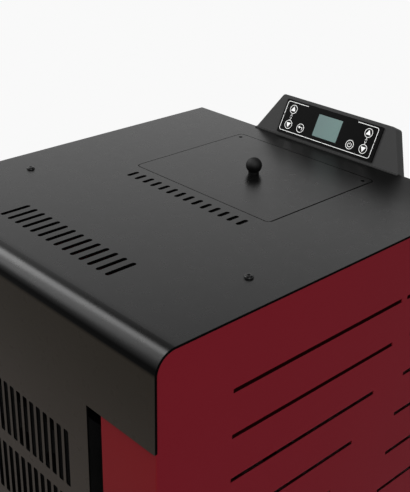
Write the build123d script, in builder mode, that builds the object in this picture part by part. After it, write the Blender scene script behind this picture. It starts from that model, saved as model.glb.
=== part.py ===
# Free-standing pellet stove with a bent top cover, a flush hopper lid and a sloping keypad console.
# Millimetres. +X is the stove's right seen from the front, +Y points to the wall, +Z is up.
# The origin lies on the floor, under the middle of the whole stove.
import os
from math import cos, radians, sin, sqrt

from build123d import *

os.makedirs("parts", exist_ok=True)

# ---------------------------------------------------------------- driving dimensions
# Casing
body_width = 500.0
body_depth = 519.5
top_height = 930.0
handle_reach = 38.0
spigot_reach = 48.0
cover_sheet = 2.0
panel_sheet = 1.5
frame_sheet = 2.0
panel_gap = 0.3
bend_radius = 24.0
apron_drop = 107.7
apron_corner = 3.0
rear_flange = 22.0
rear_bend_radius = 3.0
tongue_width = 285.4
tongue_drop = 345.0
return_inner = 163.7
cover_overhang = 0.5

# Slots in the top cover
top_slot_count = 14
top_slot_pitch = 15.3
top_slot_width = 6.2
long_slot_front = 60.5
long_slot_length = 39.8
short_slot_front = 248.1
short_slot_length = 18.0

# Front grille
grille_columns = 17
grille_rows = 2
grille_pitch = 13.0
grille_slot_width = 8.2
grille_slot_length = 72.8
grille_slot_corner = 2.0
grille_row_pitch = 89.6
grille_drop = 159.4

# Side louvres
louvre_rows = 8
louvre_pitch = 54.6
louvre_height = 5.0
louvre_drop = 81.9
louvre_front = 99.7
louvre_first_end = 372.7
louvre_steps = (9.7, 28.6, 33.4)
louvre_break = 9.8
louvre_break_growth = 24.0
louvre_margin = 20.0

# Lid
lid_width = 239.6
lid_rear_margin = 44.3
lid_front = 280.4
lid_gap = 1.2
lid_corner = 6.0
lid_hole = 5.5
lid_hole_side = 9.1
lid_hole_rear = 11.1
lid_pan_depth = 8.0
lid_pan_width = 196.0
lid_pan_margin = 27.4
lid_pan_taper = 20.0
hinge_drop = 5.5
hinge_setback = 9.0
hinge_rod_radius = 2.0
lid_ear_drop = 8.0
knuckle_wall = 2.0
knuckle_length = 18.0
knuckle_inset = 24.0
running_clearance = 0.05
loose_clearance = 0.3
knob_ball_radius = 10.5
knob_height = 10.8
knob_neck_radius = 7.0
seal_height = 4.0
seal_width = 10.0
seal_overhang = 1.0
ledge_sheet = 1.5
ledge_margin = 4.0
ledge_rear_gap = 30.0
ear_sheet = 2.5
ear_gap = 2.4

# Top screws
screw_inset = 50.4
screw_front = 167.0
screw_head_radius = 5.3
screw_head_height = 2.8
screw_head_round_share = 0.8
screw_socket_share = 0.75
screw_socket_depth_share = 0.6
screw_shank_radius = 2.5
screw_shank_length = 10.0

# Console
console_base = 257.2
console_top = 198.8
console_face = 58.45
console_lean = 26.5
console_front = 4.6
console_depth = 15.0
console_sheet = 1.5
console_corner = 6.0
console_lip = 2.5
console_tail = 20.0
keypad_width = 172.0
keypad_height = 49.6
keypad_start = 4.0
keypad_shift = -2.0
keypad_thickness = 2.0
keypad_rim = 7.0
keypad_corner = 1.5
keypad_hole_inset = 1.0
board_inset = 2.0
chip_height = 3.0
chip_sizes = (18.0, 14.0)
ribbon_socket = (24.0, 8.0)
graphic_shift = -3.7
window_width = 43.0
window_height = 31.8
window_start = 13.7
key_radius = 5.5
key_gap = 0.25
key_collar = 1.2
key_travel = 0.5
key_outer = 67.7
key_inner = 45.0
key_low = 18.0
key_high = 40.8
board_thickness = 1.6

# Hopper
hopper_width = 300.0
hopper_front_gap = 14.0
hopper_rear_gap = 25.0
hopper_sheet = 1.5
hopper_flange = 12.0
hopper_straight = 168.0
hopper_neck_top = 600.0
neck_width = 54.0
neck_length = 52.0
neck_rear = 96.0

# Auger
auger_tilt = 60.0
auger_rear = 106.0
auger_low = 400.0
auger_length = 258.0
auger_tube_radius = 34.0
auger_tube_wall = 3.0
flight_radius = 29.0
flight_pitch = 43.0
flight_thickness = 3.0
shaft_radius = 8.0
auger_cap = 8.0
bush_radius = 13.0
chute_radius = 28.0
chute_wall = 2.0
chute_lean = 39.0
chute_from_top = 34.0
motor_radius = 30.0
motor_length = 52.0
gearbox_length = 40.0
gearbox_width = 84.0
gearbox_height = 66.0
gearbox_corner = 6.0
motor_cap_radius = 13.5
motor_cap_height = 4.0
auger_flange_rim = 2.0
flight_root = 1.0
shaft_in_gearbox = 30.0

# Firebox
fire_setback = 30.0
fire_to_back = 299.5
fire_width = 260.0
fire_wall = 4.0
fire_floor = 178.0
fire_top = 600.0
fire_flange_width = 320.0
fire_mouth_width = 200.0
fire_mouth_height = 314.0
fire_mouth_low = 224.0
drawer_mouth_width = 232.0
drawer_mouth_low = 52.0
drawer_mouth_height = 112.0
exchanger_height = 172.0
exchanger_tube_radius = 16.0
exchanger_tube_wall = 2.0
exchanger_columns = 4
exchanger_rows = 2
exchanger_pitch_x = 60.0
exchanger_pitch_z = 60.0
back_plate_thickness = 8.0
back_plate_rib = 4.0
back_plate_gap = 1.0
rib_count = 11
rib_pitch = 22.0
rib_width = 9.0
rib_corner = 4.0
rib_end_gap = 20.0
rib_taper = 12.0
back_plate_top_gap = 10.0
baffle_front_gap = 24.0
baffle_edge = 3.0
baffle_thickness = 12.0
baffle_low = 574.0
runner_overlap = 7.0
runner_sheet = 2.0
lug_inset = 30.0
lug_length = 30.0
lug_height = 5.0
ash_slot_rows = 5
ash_slot_pitch = 22.0
ash_slot_length = 32.0
ash_slot_width = 10.0
ash_slot_side = 100.0
fire_mouth_corner = 10.0
keeper_overlap = 1.0
keeper_play = 0.5
hinge_arm_setback = 2.0
outlet_margin = 8.0
outlet_height = 46.0
tube_bank_lift = 12.0
pot_width = 108.0
pot_depth = 74.0
pot_wall = 5.0
pot_rim = 9.0
pot_rim_height = 284.0
pot_foot_width = 77.8
pot_foot_length_share = 0.72
pot_corner = 10.0
pot_foot_corner = 8.0
pot_play = 0.5
pot_hole_pitch = 12.0
pot_hole_radius = 2.5
cradle_wall = 4.0
cradle_margin = 18.0
cradle_front_room = 29.0
cradle_rear_room = 35.0
cradle_corner = 8.0
igniter_radius = 5.0
igniter_side = 30.0
igniter_height = 242.0
igniter_tail = 30.0
igniter_nut_length = 6.0
igniter_nut_radius = 9.0
igniter_tip_gap = 1.0

# Door
door_low = 182.0
door_gap = 5.0
door_thickness = 22.0
door_edge = 1.5
window_corner = 8.0
window_bevel_depth = 7.0
window_bevel_width = 9.0
glass_corner = 2.0
clip_sheet = 1.5
clip_width = 24.0
clip_bite = 5.0
clip_foot = 10.0
rope_corner = 12.0
rope_edge = 2.3
pin_head_radius = 4.0
pin_head_height = 1.0
pin_tail = 1.5
hub_length = 4.0
hub_radius = 10.0
lever_end = 4.2
window_margin = 62.0
glass_overlap = 12.0
glass_thickness = 4.0
glass_depth = 10.0
rope_section = 7.6
rope_inset = 34.0
door_hinge_side = 150.2
door_hinge_depth = 6.0
door_pin_radius = 2.5
door_knuckle_radius = 5.0
door_knuckle_length = 24.0
door_knuckle_inset = 55.0
door_bracket_sheet = 4.0
spindle_radius = 5.0
spindle_side = 122.0
spindle_height = 400.0
lever_radius = 7.0
lever_length = 105.0
latch_reach = 34.0
latch_height = 14.0
latch_sheet = 4.0

# Ash drawer
drawer_low = 42.0
drawer_sheet = 1.5
drawer_box_width = 222.0
drawer_box_low = 60.0
drawer_box_height = 84.0
drawer_front_gap = 4.0
drawer_front_depth = 15.5
drawer_rear_gap = 12.0
drawer_pull_drop = 24.0
drawer_pull_fold = 8.0
drawer_box_corner = 6.0
drawer_pull_reach = 16.0
drawer_pull_width = 120.0

# Base and feet
base_height = 30.0
base_sheet = 3.0
base_rim = 22.0
chassis_setback = 6.0
foot_side_inset = 41.0
foot_inset = 50.0
foot_radius = 22.0
foot_pad = 8.0
foot_chamfer_share = 0.35
foot_stem_radius = 5.0
foot_boss_radius = 11.0
foot_boss_length = 12.0
foot_stem_length = 40.0
foot_nut_radius = 8.5

# Side frames and panels
frame_post = 30.0
frame_top_rail = 26.0
frame_shelf = 20.0
frame_window_corner = 10.0
frame_rail_drop = 110.0
frame_rail_half = 34.0
rear_screw_radius = 2.0
rear_screw_end_gap = 55.0
panel_low_gap = 6.0
fold_radius = 3.0
vent_columns = 15
vent_pitch = 12.0
vent_width = 5.0
low_vent_length = 76.0
high_vent_columns = 9
high_vent_length = 30.0
high_vent_row_pitch = 40.0
high_vent_drop = 120.0
spigot_hole_gap = 3.0
screw_cap_height = 2.4
casing_screw_length = 9.0
screw_edge = 0.8

# Smoke path
duct_inner_side = 66.0
duct_width = 40.0
duct_depth = 40.0
duct_sheet = 2.0
duct_low = 112.0
duct_foot_height = 118.0
duct_foot_length = 184.0
scroll_radius = 80.0
scroll_width = 86.0
scroll_wall = 3.0
fan_to_back = 178.75
fan_height = 168.0
fan_inlet_radius = 36.0
impeller_radius = 66.0
impeller_depth = 48.0
impeller_blades = 10
impeller_disc = 3.0
impeller_gap = 4.0
impeller_hub_radius = 12.0
impeller_hub_length = 24.0
blade_ring_radius = 47.5
blade_chord = 33.0
blade_thickness = 2.0
blade_angle = 25.0
scroll_outlet_start = 6.0
scroll_rear_gap = 8.0
fan_shaft_radius = 4.0
fan_motor_radius = 38.0
fan_motor_side_gap = 16.0
fan_motor_bore_share = 0.54
motor_fin_count = 24
motor_fin_gap = (3.0, 2.5)
motor_flange_rim = 6.0
motor_flange_corner = 12.0
motor_flange = 3.0
spigot_rim_x = 5.0
spigot_rim_z = 4.0
spigot_flange_corner = 6.0
spigot_radius = 40.0
spigot_wall = 2.0
pipe_step = 0.4
spigot_step = 0.8
pipe_step_gap = 3.0
spigot_flange = 4.0

# Air intake
intake_radius = 25.0
intake_wall = 1.5
intake_height = 214.0
intake_reach = 26.0

# Room-air blower
blower_start = 4.0
blower_side_gap = 20.0
blower_sheet = 2.0
blower_box_depth = 112.0
blower_box_height = 118.0
blower_rear_gap = 16.0
blower_corner = 12.0
blower_window_inset = 14.0
blower_window_low = 16.0
blower_window_high = 30.0
blower_window_corner = 8.0
blower_floor_gap = 14.0
drum_overlap = 3.0
drum_edge_gap = 1.0
drum_blade_angle = 35.0
drum_radius = 38.0
drum_blades = 20
drum_blade_chord = 13.0
drum_blade_thickness = 1.2
drum_disc = 2.0
drum_end_gap = 4.0
blower_motor_radius = 30.0
blower_motor_length = 32.0
blower_shaft_in_motor = 20.0
blower_motor_edge = 4.0

# Electrics
inlet_side_inset = 60.0
inlet_height = 300.0
inlet_plate_width = 38.0
inlet_plate_height = 66.0
inlet_plate_corner = 3.0
inlet_plate_sheet = 2.0
inlet_body_width = 30.0
inlet_body_height = 58.0
inlet_body_corner = 2.0
inlet_body_depth = 24.0
socket_drop = 14.0
socket_width = 24.0
socket_height = 17.0
socket_corner = 4.0
socket_depth = 16.0
socket_pin_width = 2.0
socket_pin_height = 4.5
socket_pin_side = 7.0
socket_pin_drop = 2.0
socket_pin_rise = 3.0
socket_pin_setback = 1.0
rocker_lift = 16.0
rocker_width = 13.4
rocker_half = 9.6
rocker_half_angle = 8.0
rocker_play = 1.6
rocker_block = 5.0
rocker_lip = 6.0
rocker_face = 5.6
rocker_back_high = 3.5
rocker_back_low = 1.5
rocker_pivot_depth = 4.0
rocker_pin_radius = 1.5
rocker_pin_length = 2.5
rocker_pin_gap = 0.5
board_stand = 10.0
board_length = 130.0
board_height = 50.0
stud_inset = 6.0
stud_radius = 3.0
tall_part_height = 18.0
relay_offset = 40.0
relay_length = 30.0
relay_width = 34.0
coil_offset = 20.0
coil_lift = 10.0
coil_length = 24.0
coil_width = 14.0
low_part_height = 10.0
terminal_offset = 35.0
terminal_drop = 16.0
terminal_length = 50.0
terminal_width = 9.0
can_lift = 14.0
can_radius = 5.0
tab_length = 64.0
tab_height = 20.0
tab_corner = 5.0
tab_sheet = 3.0
capsule_radius = 21.0
capsule_height = 16.0
capsule_edge = 3.0
hose_side = 9.0
hose_radius = 3.0
hose_bore = 1.5
hose_length = 12.0

# ---------------------------------------------------------------- places worked out from them
half_width = body_width / 2
front_y = (handle_reach - body_depth - spigot_reach) / 2
back_y = front_y + body_depth
cover_under = top_height - cover_sheet
lid_front_y = front_y + lid_front
lid_rear_y = back_y - lid_rear_margin
lid_mid_y = (lid_front_y + lid_rear_y) / 2
lid_pan_length = lid_rear_y - lid_front_y - 2 * lid_pan_margin
hinge_y = lid_rear_y - hinge_setback
hinge_z = top_height - hinge_drop
panel_outer = half_width - cover_overhang
panel_inner = panel_outer - panel_sheet
panel_front_y = front_y + cover_sheet + panel_gap
rear_panel_y = back_y - cover_sheet - panel_sheet
apron_z = top_height - apron_drop
tongue_z = top_height - tongue_drop
chassis_half = panel_inner - frame_sheet
foot_side = chassis_half - foot_side_inset
screw_offset = half_width - screw_inset
inlet_side = half_width - inlet_side_inset
rail_z = top_height - frame_rail_drop
base_top = base_height + base_sheet
fire_front_y = front_y + fire_setback
fire_back_y = back_y - fire_to_back
fire_depth = fire_back_y - fire_front_y
fan_y = back_y - fan_to_back
door_high = tongue_z - door_gap
door_back_y = front_y + door_thickness


def level(z):
    """Horizontal plane at height z, facing up."""
    return Plane.XY.offset(z)


def facing_front(y):
    """Upright plane at depth y, facing the front; its sketch axes are X and Z."""
    return Plane.XZ.offset(-y)


def facing_right(x):
    """Upright plane at x, facing +X; its sketch axes are Y and Z."""
    return Plane.YZ.offset(x)


def span(low_x, high_x, low_y, high_y, corner=0.0, mode=Mode.ADD):
    """A rectangle given by its two corners, in the sketch's own axes, with rounded corners if asked."""
    with Locations(((low_x + high_x) / 2, (low_y + high_y) / 2)):
        if corner:
            RectangleRounded(high_x - low_x, high_y - low_y, corner, mode=mode)
        else:
            Rectangle(high_x - low_x, high_y - low_y, mode=mode)


def save(piece, label):
    """Label a finished piece and write it to its own file."""
    piece.part.label = label
    export_step(piece.part, f"parts/{label}.step")


# ---------------------------------------------------------------- base and feet
chassis_front_y = front_y + chassis_setback
foot_front_y = front_y + foot_inset
foot_rear_y = back_y - foot_inset
foot_places = {
    "front_left": (-foot_side, foot_front_y),
    "front_right": (foot_side, foot_front_y),
    "rear_left": (-foot_side, foot_rear_y),
    "rear_right": (foot_side, foot_rear_y),
}

with BuildPart() as base_plate:
    with BuildSketch(level(base_height)):
        span(-chassis_half, chassis_half, chassis_front_y, rear_panel_y)
    extrude(amount=base_sheet)
    # The two long edges are folded up, where the side frames stand against them.
    with BuildSketch(level(base_top)):
        span(-chassis_half, -chassis_half + base_sheet, chassis_front_y, rear_panel_y)
        span(chassis_half - base_sheet, chassis_half, chassis_front_y, rear_panel_y)
    extrude(amount=base_rim)
    with BuildSketch(level(base_height - foot_boss_length)):
        with Locations(*foot_places.values()):
            Circle(foot_boss_radius)
    extrude(amount=foot_boss_length)
    with BuildSketch(level(base_height - foot_boss_length)):
        with Locations(*foot_places.values()):
            Circle(foot_stem_radius + running_clearance)
    extrude(amount=foot_boss_length + base_sheet, mode=Mode.SUBTRACT)
save(base_plate, "base_plate")

for corner, (foot_x, foot_y) in foot_places.items():
    with BuildPart() as foot:
        with BuildSketch(Plane.XY):
            with Locations((foot_x, foot_y)):
                Circle(foot_radius)
        extrude(amount=foot_pad)
        chamfer(foot.faces().sort_by(Axis.Z)[-1].edges(), foot_pad * foot_chamfer_share)
        with BuildSketch(level(foot_pad)):
            with Locations((foot_x, foot_y)):
                RegularPolygon(foot_nut_radius, 6)
        extrude(amount=foot_stem_radius)
        with BuildSketch(level(foot_pad)):
            with Locations((foot_x, foot_y)):
                Circle(foot_stem_radius)
        extrude(amount=foot_stem_length)
    save(foot, f"foot_{corner}")

# ---------------------------------------------------------------- side frames and panels
frame_front_y = front_y + bend_radius + cover_sheet
frame_rear_y = rear_panel_y
rear_screw_heights = (
    base_top + rear_screw_end_gap,
    (base_top + cover_under) / 2,
    cover_under - rear_screw_end_gap,
)
rear_screw_side = chassis_half - frame_shelf / 2
rear_screw_places = [(side * rear_screw_side, height) for side in (-1, 1) for height in rear_screw_heights]

with BuildPart() as frame_right:
    with BuildSketch(facing_right(chassis_half)):
        span(frame_front_y, frame_rear_y, base_top, cover_under)
        with Locations(((frame_front_y + frame_rear_y) / 2, (base_top + cover_under) / 2)):
            RectangleRounded(
                frame_rear_y - frame_front_y - 2 * frame_post,
                cover_under - base_top - 2 * frame_top_rail,
                frame_window_corner,
                mode=Mode.SUBTRACT,
            )
        # A cross rail behind the upper louvres carries the electronics.
        span(frame_front_y, frame_rear_y, rail_z - frame_rail_half, rail_z + frame_rail_half)
    extrude(amount=frame_sheet)
    # Folded shelves: one under the top cover, one behind the rear panel's edge.
    with BuildSketch(facing_right(screw_offset - frame_shelf / 2)):
        span(frame_front_y, frame_rear_y, cover_under - frame_sheet, cover_under)
    extrude(amount=chassis_half - screw_offset + frame_shelf / 2)
    with BuildSketch(facing_right(chassis_half - frame_shelf)):
        span(frame_rear_y - frame_sheet, frame_rear_y, base_top + base_rim, cover_under)
    extrude(amount=frame_shelf)
    with BuildSketch(level(cover_under)):
        with Locations((screw_offset, front_y + screw_front)):
            Circle(screw_shank_radius + running_clearance)
    extrude(amount=-frame_sheet, mode=Mode.SUBTRACT)
    with BuildSketch(facing_front(frame_rear_y)):
        with Locations(*[(rear_screw_side, height) for height in rear_screw_heights]):
            Circle(rear_screw_radius + running_clearance)
    extrude(amount=frame_sheet, mode=Mode.SUBTRACT)
save(frame_right, "frame_right")

with BuildPart() as frame_left:
    mirror(frame_right.part, about=Plane.YZ)
save(frame_left, "frame_left")

# Each side panel is one sheet folded round the front corner, with a fan of level louvres.
panel_low = base_height + panel_low_gap
panel_high = cover_under - panel_gap
return_high = top_height - bend_radius - 2 * fold_radius
panel_rear_y = back_y - cover_sheet - panel_gap
panel_bend = bend_radius - cover_sheet - panel_gap


def louvre_end(row):
    """Distance from the front face to the end of a row's first slot."""
    last_step = louvre_steps[-1]
    return louvre_first_end - sum(louvre_steps[:row]) - max(0, row - len(louvre_steps)) * last_step


with BuildPart() as side_panel_right:
    with BuildSketch(level(panel_low)):
        with BuildLine():
            Polyline(
                (return_inner, panel_front_y),
                (panel_outer, panel_front_y),
                (panel_outer, panel_rear_y),
                (panel_inner, panel_rear_y),
                (panel_inner, panel_front_y + panel_sheet),
                (return_inner, panel_front_y + panel_sheet),
                close=True,
            )
        make_face()
        fillet(vertices().sort_by_distance((panel_outer, panel_front_y))[0], fold_radius)
        fillet(
            vertices().sort_by_distance((panel_inner, panel_front_y + panel_sheet))[0],
            fold_radius - panel_sheet,
        )
    extrude(amount=panel_high - panel_low)
    # The upper front corner follows the bend of the cover; the return stops behind the apron.
    with BuildSketch(facing_right(return_inner)):
        span(panel_front_y, panel_rear_y, panel_low, panel_high)
        fillet(vertices().sort_by_distance((panel_front_y, panel_high))[0], panel_bend)
    extrude(amount=panel_outer - return_inner, mode=Mode.INTERSECT)
    with BuildSketch(facing_right(return_inner)):
        span(panel_front_y, panel_rear_y, return_high, panel_high)
    extrude(amount=panel_inner - return_inner, mode=Mode.SUBTRACT)
    with BuildSketch(facing_right(panel_inner)):
        for row in range(louvre_rows):
            slot_z = top_height - louvre_drop - row * louvre_pitch
            slot_end = louvre_end(row)
            slot_low = slot_z - louvre_height / 2
            slot_high = slot_z + louvre_height / 2
            span(front_y + louvre_front, front_y + slot_end, slot_low, slot_high)
            next_slot = slot_end + louvre_break + row * louvre_break_growth
            if next_slot < body_depth - 2 * louvre_margin:
                span(front_y + next_slot, back_y - louvre_margin, slot_low, slot_high)
    extrude(amount=panel_sheet, mode=Mode.SUBTRACT)
save(side_panel_right, "side_panel_right")

with BuildPart() as side_panel_left:
    mirror(side_panel_right.part, about=Plane.YZ)
save(side_panel_left, "side_panel_left")

# ---------------------------------------------------------------- top cover
console_foot_y = back_y - console_front
console_screw_side = console_top / 4
console_screw_z = top_height - rear_flange / 2 - cover_sheet
ledge_z = cover_under - loose_clearance - seal_height - ledge_sheet
ledge_rear_y = lid_rear_y - ledge_rear_gap
ledge_outer = lid_width / 2 + lid_gap + ledge_margin
ledge_inner = lid_width / 2 - seal_width - seal_overhang
ear_inner = lid_width / 2 + ear_gap


with BuildPart() as top_cover:
    with BuildSketch(facing_right(-half_width)):
        span(front_y, back_y, apron_z, top_height)
        fillet(vertices().sort_by_distance((front_y, top_height))[0], bend_radius)
        fillet(vertices().sort_by_distance((back_y, top_height))[0], rear_bend_radius)
    extrude(amount=body_width)
    with BuildSketch(facing_right(-half_width)):
        span(front_y + cover_sheet, back_y - cover_sheet, apron_z, cover_under)
        inner_corner = (front_y + cover_sheet, cover_under)
        fillet(vertices().sort_by_distance(inner_corner)[0], bend_radius - cover_sheet)
        span(back_y - cover_sheet, back_y, apron_z, top_height - rear_flange)
    extrude(amount=body_width, mode=Mode.SUBTRACT)
    # The middle of the front runs on down as the grille plate.
    with BuildSketch(facing_front(front_y + cover_sheet)):
        span(-tongue_width / 2, tongue_width / 2, tongue_z, apron_z)
    extrude(amount=cover_sheet)
    apron_ends = top_cover.edges().filter_by(Axis.Y).filter_by_position(Axis.Z, apron_z - 1, apron_z + 1)
    fillet(apron_ends.group_by(Axis.X)[0] + apron_ends.group_by(Axis.X)[-1], apron_corner)
    with BuildSketch(facing_front(front_y + cover_sheet)):
        first_row_z = top_height - grille_drop - grille_slot_length / 2
        rows_mid_z = first_row_z - (grille_rows - 1) / 2 * grille_row_pitch
        with Locations((0, rows_mid_z)):
            with GridLocations(grille_pitch, grille_row_pitch, grille_columns, grille_rows):
                RectangleRounded(grille_slot_width, grille_slot_length, grille_slot_corner)
    extrude(amount=cover_sheet, mode=Mode.SUBTRACT)
    with BuildSketch(level(cover_under)):
        with Locations((0, front_y + long_slot_front + long_slot_length / 2)):
            with GridLocations(top_slot_pitch, 1, top_slot_count, 1):
                SlotOverall(long_slot_length, top_slot_width, rotation=90)
        with Locations((0, front_y + short_slot_front + short_slot_length / 2)):
            with GridLocations(top_slot_pitch, 1, top_slot_count, 1):
                SlotOverall(short_slot_length, top_slot_width, rotation=90)
        with Locations((-screw_offset, front_y + screw_front), (screw_offset, front_y + screw_front)):
            Circle(screw_shank_radius + running_clearance)
        span(
            -lid_width / 2 - lid_gap,
            lid_width / 2 + lid_gap,
            lid_front_y - lid_gap,
            lid_rear_y + lid_gap,
            lid_corner + lid_gap,
        )
    extrude(amount=cover_sheet, mode=Mode.SUBTRACT)
    # A welded ledge round three sides of the opening carries the lid's seal.
    with BuildSketch(level(ledge_z)):
        span(-ledge_outer, ledge_outer, lid_front_y - ledge_sheet - ledge_margin, ledge_rear_y)
        span(-ledge_inner, ledge_inner, lid_front_y + seal_width, ledge_rear_y, mode=Mode.SUBTRACT)
    extrude(amount=ledge_sheet)
    with BuildSketch(level(ledge_z)):
        span(-ledge_outer, ledge_outer, lid_front_y - ledge_sheet - ledge_margin, ledge_rear_y)
        span(
            -ledge_outer + ledge_sheet,
            ledge_outer - ledge_sheet,
            lid_front_y - ledge_margin,
            ledge_rear_y,
            mode=Mode.SUBTRACT,
        )
    extrude(amount=cover_under - ledge_z)
    # Two ears hang beside the opening and hold the hinge rod.
    for ear_x in (-ear_inner - ear_sheet, ear_inner):
        with BuildSketch(facing_right(ear_x)):
            ear_half = 3 * hinge_rod_radius
            span(hinge_y - ear_half, hinge_y + ear_half, hinge_z - lid_ear_drop, cover_under)
            with Locations((hinge_y, hinge_z)):
                Circle(hinge_rod_radius + running_clearance, mode=Mode.SUBTRACT)
        extrude(amount=ear_sheet)
    with BuildSketch(facing_front(back_y)):
        with Locations((-console_screw_side, console_screw_z), (console_screw_side, console_screw_z)):
            Circle(rear_screw_radius + running_clearance)
    extrude(amount=cover_sheet, mode=Mode.SUBTRACT)
save(top_cover, "top_cover")

screw_places = [(-screw_offset, front_y + screw_front), (screw_offset, front_y + screw_front)]
with BuildPart() as top_screws:
    with BuildSketch(level(top_height)):
        with Locations(*screw_places):
            Circle(screw_head_radius)
    extrude(amount=screw_head_height)
    fillet(top_screws.edges().group_by(Axis.Z)[-1], screw_head_height * screw_head_round_share)
    with BuildSketch(level(top_height + screw_head_height)):
        with Locations(*screw_places):
            RegularPolygon(screw_shank_radius * screw_socket_share, 6)
    extrude(amount=-screw_head_height * screw_socket_depth_share, mode=Mode.SUBTRACT)
    with BuildSketch(level(top_height)):
        with Locations(*screw_places):
            Circle(screw_shank_radius)
    extrude(amount=-screw_shank_length)
save(top_screws, "top_screws")

# ---------------------------------------------------------------- hopper lid
lid_under = top_height - cover_sheet
knuckle_radius = hinge_rod_radius + running_clearance + knuckle_wall
knuckle_x = lid_width / 2 - knuckle_inset - knuckle_length / 2
lid_hole_x = lid_width / 2 - lid_hole_side
lid_hole_y = lid_rear_y - lid_hole_rear

with BuildPart() as hopper_lid:
    with BuildSketch(level(lid_under)):
        span(-lid_width / 2, lid_width / 2, lid_front_y, lid_rear_y, lid_corner)
        with Locations((-lid_hole_x, lid_hole_y), (lid_hole_x, lid_hole_y)):
            Circle(lid_hole / 2, mode=Mode.SUBTRACT)
    extrude(amount=cover_sheet)
    # A shallow pan welded underneath keeps the plate flat.
    with BuildSketch(level(lid_under)):
        with Locations((0, lid_mid_y)):
            Rectangle(lid_pan_width, lid_pan_length)
    extrude(amount=-lid_pan_depth, taper=lid_pan_taper)
    with BuildSketch(level(lid_under)):
        with Locations((0, lid_mid_y)):
            Rectangle(lid_pan_width - 3 * cover_sheet, lid_pan_length - 3 * cover_sheet)
    extrude(amount=-(lid_pan_depth - cover_sheet), taper=lid_pan_taper, mode=Mode.SUBTRACT)
    for knuckle_side in (-knuckle_x, knuckle_x):
        with BuildSketch(facing_right(knuckle_side - knuckle_length / 2)):
            with Locations((hinge_y, hinge_z)):
                Circle(knuckle_radius)
                Circle(hinge_rod_radius + running_clearance, mode=Mode.SUBTRACT)
        extrude(amount=knuckle_length)
save(hopper_lid, "hopper_lid")

with BuildPart() as lid_hinge_rod:
    with BuildSketch(facing_right(-ear_inner - 2 * ear_sheet)):
        with Locations((hinge_y, hinge_z)):
            Circle(hinge_rod_radius)
    extrude(amount=2 * (ear_inner + 2 * ear_sheet))
save(lid_hinge_rod, "lid_hinge_rod")

neck_height = knob_height - sqrt(knob_ball_radius**2 - knob_neck_radius**2)
with BuildPart() as lid_knob:
    with BuildSketch(Plane.XZ.offset(-lid_mid_y)):
        with Locations((0, top_height + knob_height)):
            Circle(knob_ball_radius)
        span(-knob_neck_radius, knob_neck_radius, top_height, top_height + neck_height)
        span(-2 * knob_ball_radius, 0, top_height, top_height + 3 * knob_height, mode=Mode.SUBTRACT)
    revolve(axis=Axis((0, lid_mid_y, 0), (0, 0, 1)))
save(lid_knob, "lid_knob")

with BuildPart() as lid_seal:
    with BuildSketch(level(ledge_z + ledge_sheet)):
        span(-lid_width / 2, lid_width / 2, lid_front_y, ledge_rear_y)
        span(
            -lid_width / 2 + seal_width,
            lid_width / 2 - seal_width,
            lid_front_y + seal_width - seal_overhang,
            ledge_rear_y,
            mode=Mode.SUBTRACT,
        )
    extrude(amount=seal_height)
    fillet(lid_seal.faces().sort_by(Axis.Z)[-1].edges().filter_by(Axis.Y), seal_height / 3)
save(lid_seal, "lid_seal")

# ---------------------------------------------------------------- console
lean = radians(console_lean)
console_plane = Plane(
    origin=(0, console_foot_y, top_height),
    x_dir=(1, 0, 0),
    z_dir=(0, -cos(lean), sin(lean)),
)
pad_low = keypad_start
pad_high = keypad_start + keypad_height
window_mid = window_start + window_height / 2
key_places = {
    "key_left_up": (graphic_shift - key_outer, key_high),
    "key_left_down": (graphic_shift - key_outer, key_low),
    "key_escape": (graphic_shift - key_inner, key_low),
    "key_power": (graphic_shift + key_inner, key_low),
    "key_right_up": (graphic_shift + key_outer, key_high),
    "key_right_down": (graphic_shift + key_outer, key_low),
}


def console_outline(inset):
    """The console's trapezoid in its own face plane, drawn in by an inset."""
    slope = (console_base - console_top) / 2 / console_face
    side_inset = inset * sqrt(1 + slope**2)
    low_half = console_base / 2 - side_inset - inset * slope
    high_half = console_top / 2 - side_inset + inset * slope
    Polygon(
        (-low_half, inset),
        (low_half, inset),
        (high_half, console_face - inset),
        (-high_half, console_face - inset),
        align=None,
    )
    fillet(vertices().group_by(Axis.Y)[-1], console_corner - inset)


with BuildPart() as console_shell:
    with BuildSketch(console_plane):
        console_outline(0)
    extrude(amount=-console_depth)
    fillet(console_shell.faces().sort_by(Axis.Y)[0].edges().sort_by(Axis.Z)[-1], console_sheet)
    with BuildSketch(console_plane.offset(-console_sheet)):
        console_outline(console_sheet)
    extrude(amount=-console_depth, mode=Mode.SUBTRACT)
    with BuildSketch(console_plane):
        with Locations((keypad_shift, (pad_low + pad_high) / 2)):
            Rectangle(keypad_width - 2 * keypad_rim, keypad_height - 2 * keypad_hole_inset)
    extrude(amount=-console_sheet, mode=Mode.SUBTRACT)
    # A tail screwed to the cover's rear flange carries the console.
    with BuildSketch(facing_front(back_y + console_sheet)):
        span(-console_top / 2, console_top / 2, top_height - console_tail, top_height + console_sheet)
    extrude(amount=console_sheet)
    # The foot lip lies on the cover.
    with BuildSketch(facing_right(-console_base / 2)):
        lip_top = top_height + console_sheet
        span(console_foot_y - console_lip, console_foot_y + console_sheet, top_height, lip_top)
    extrude(amount=console_base)
    with BuildSketch(facing_right(-half_width)):
        span(console_foot_y - console_depth, back_y, top_height - rear_flange, top_height)
    extrude(amount=body_width, mode=Mode.SUBTRACT)
    with BuildSketch(facing_front(back_y + console_sheet)):
        with Locations((-console_screw_side, console_screw_z), (console_screw_side, console_screw_z)):
            Circle(rear_screw_radius + running_clearance)
    extrude(amount=console_sheet, mode=Mode.SUBTRACT)
save(console_shell, "console_shell")

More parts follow.
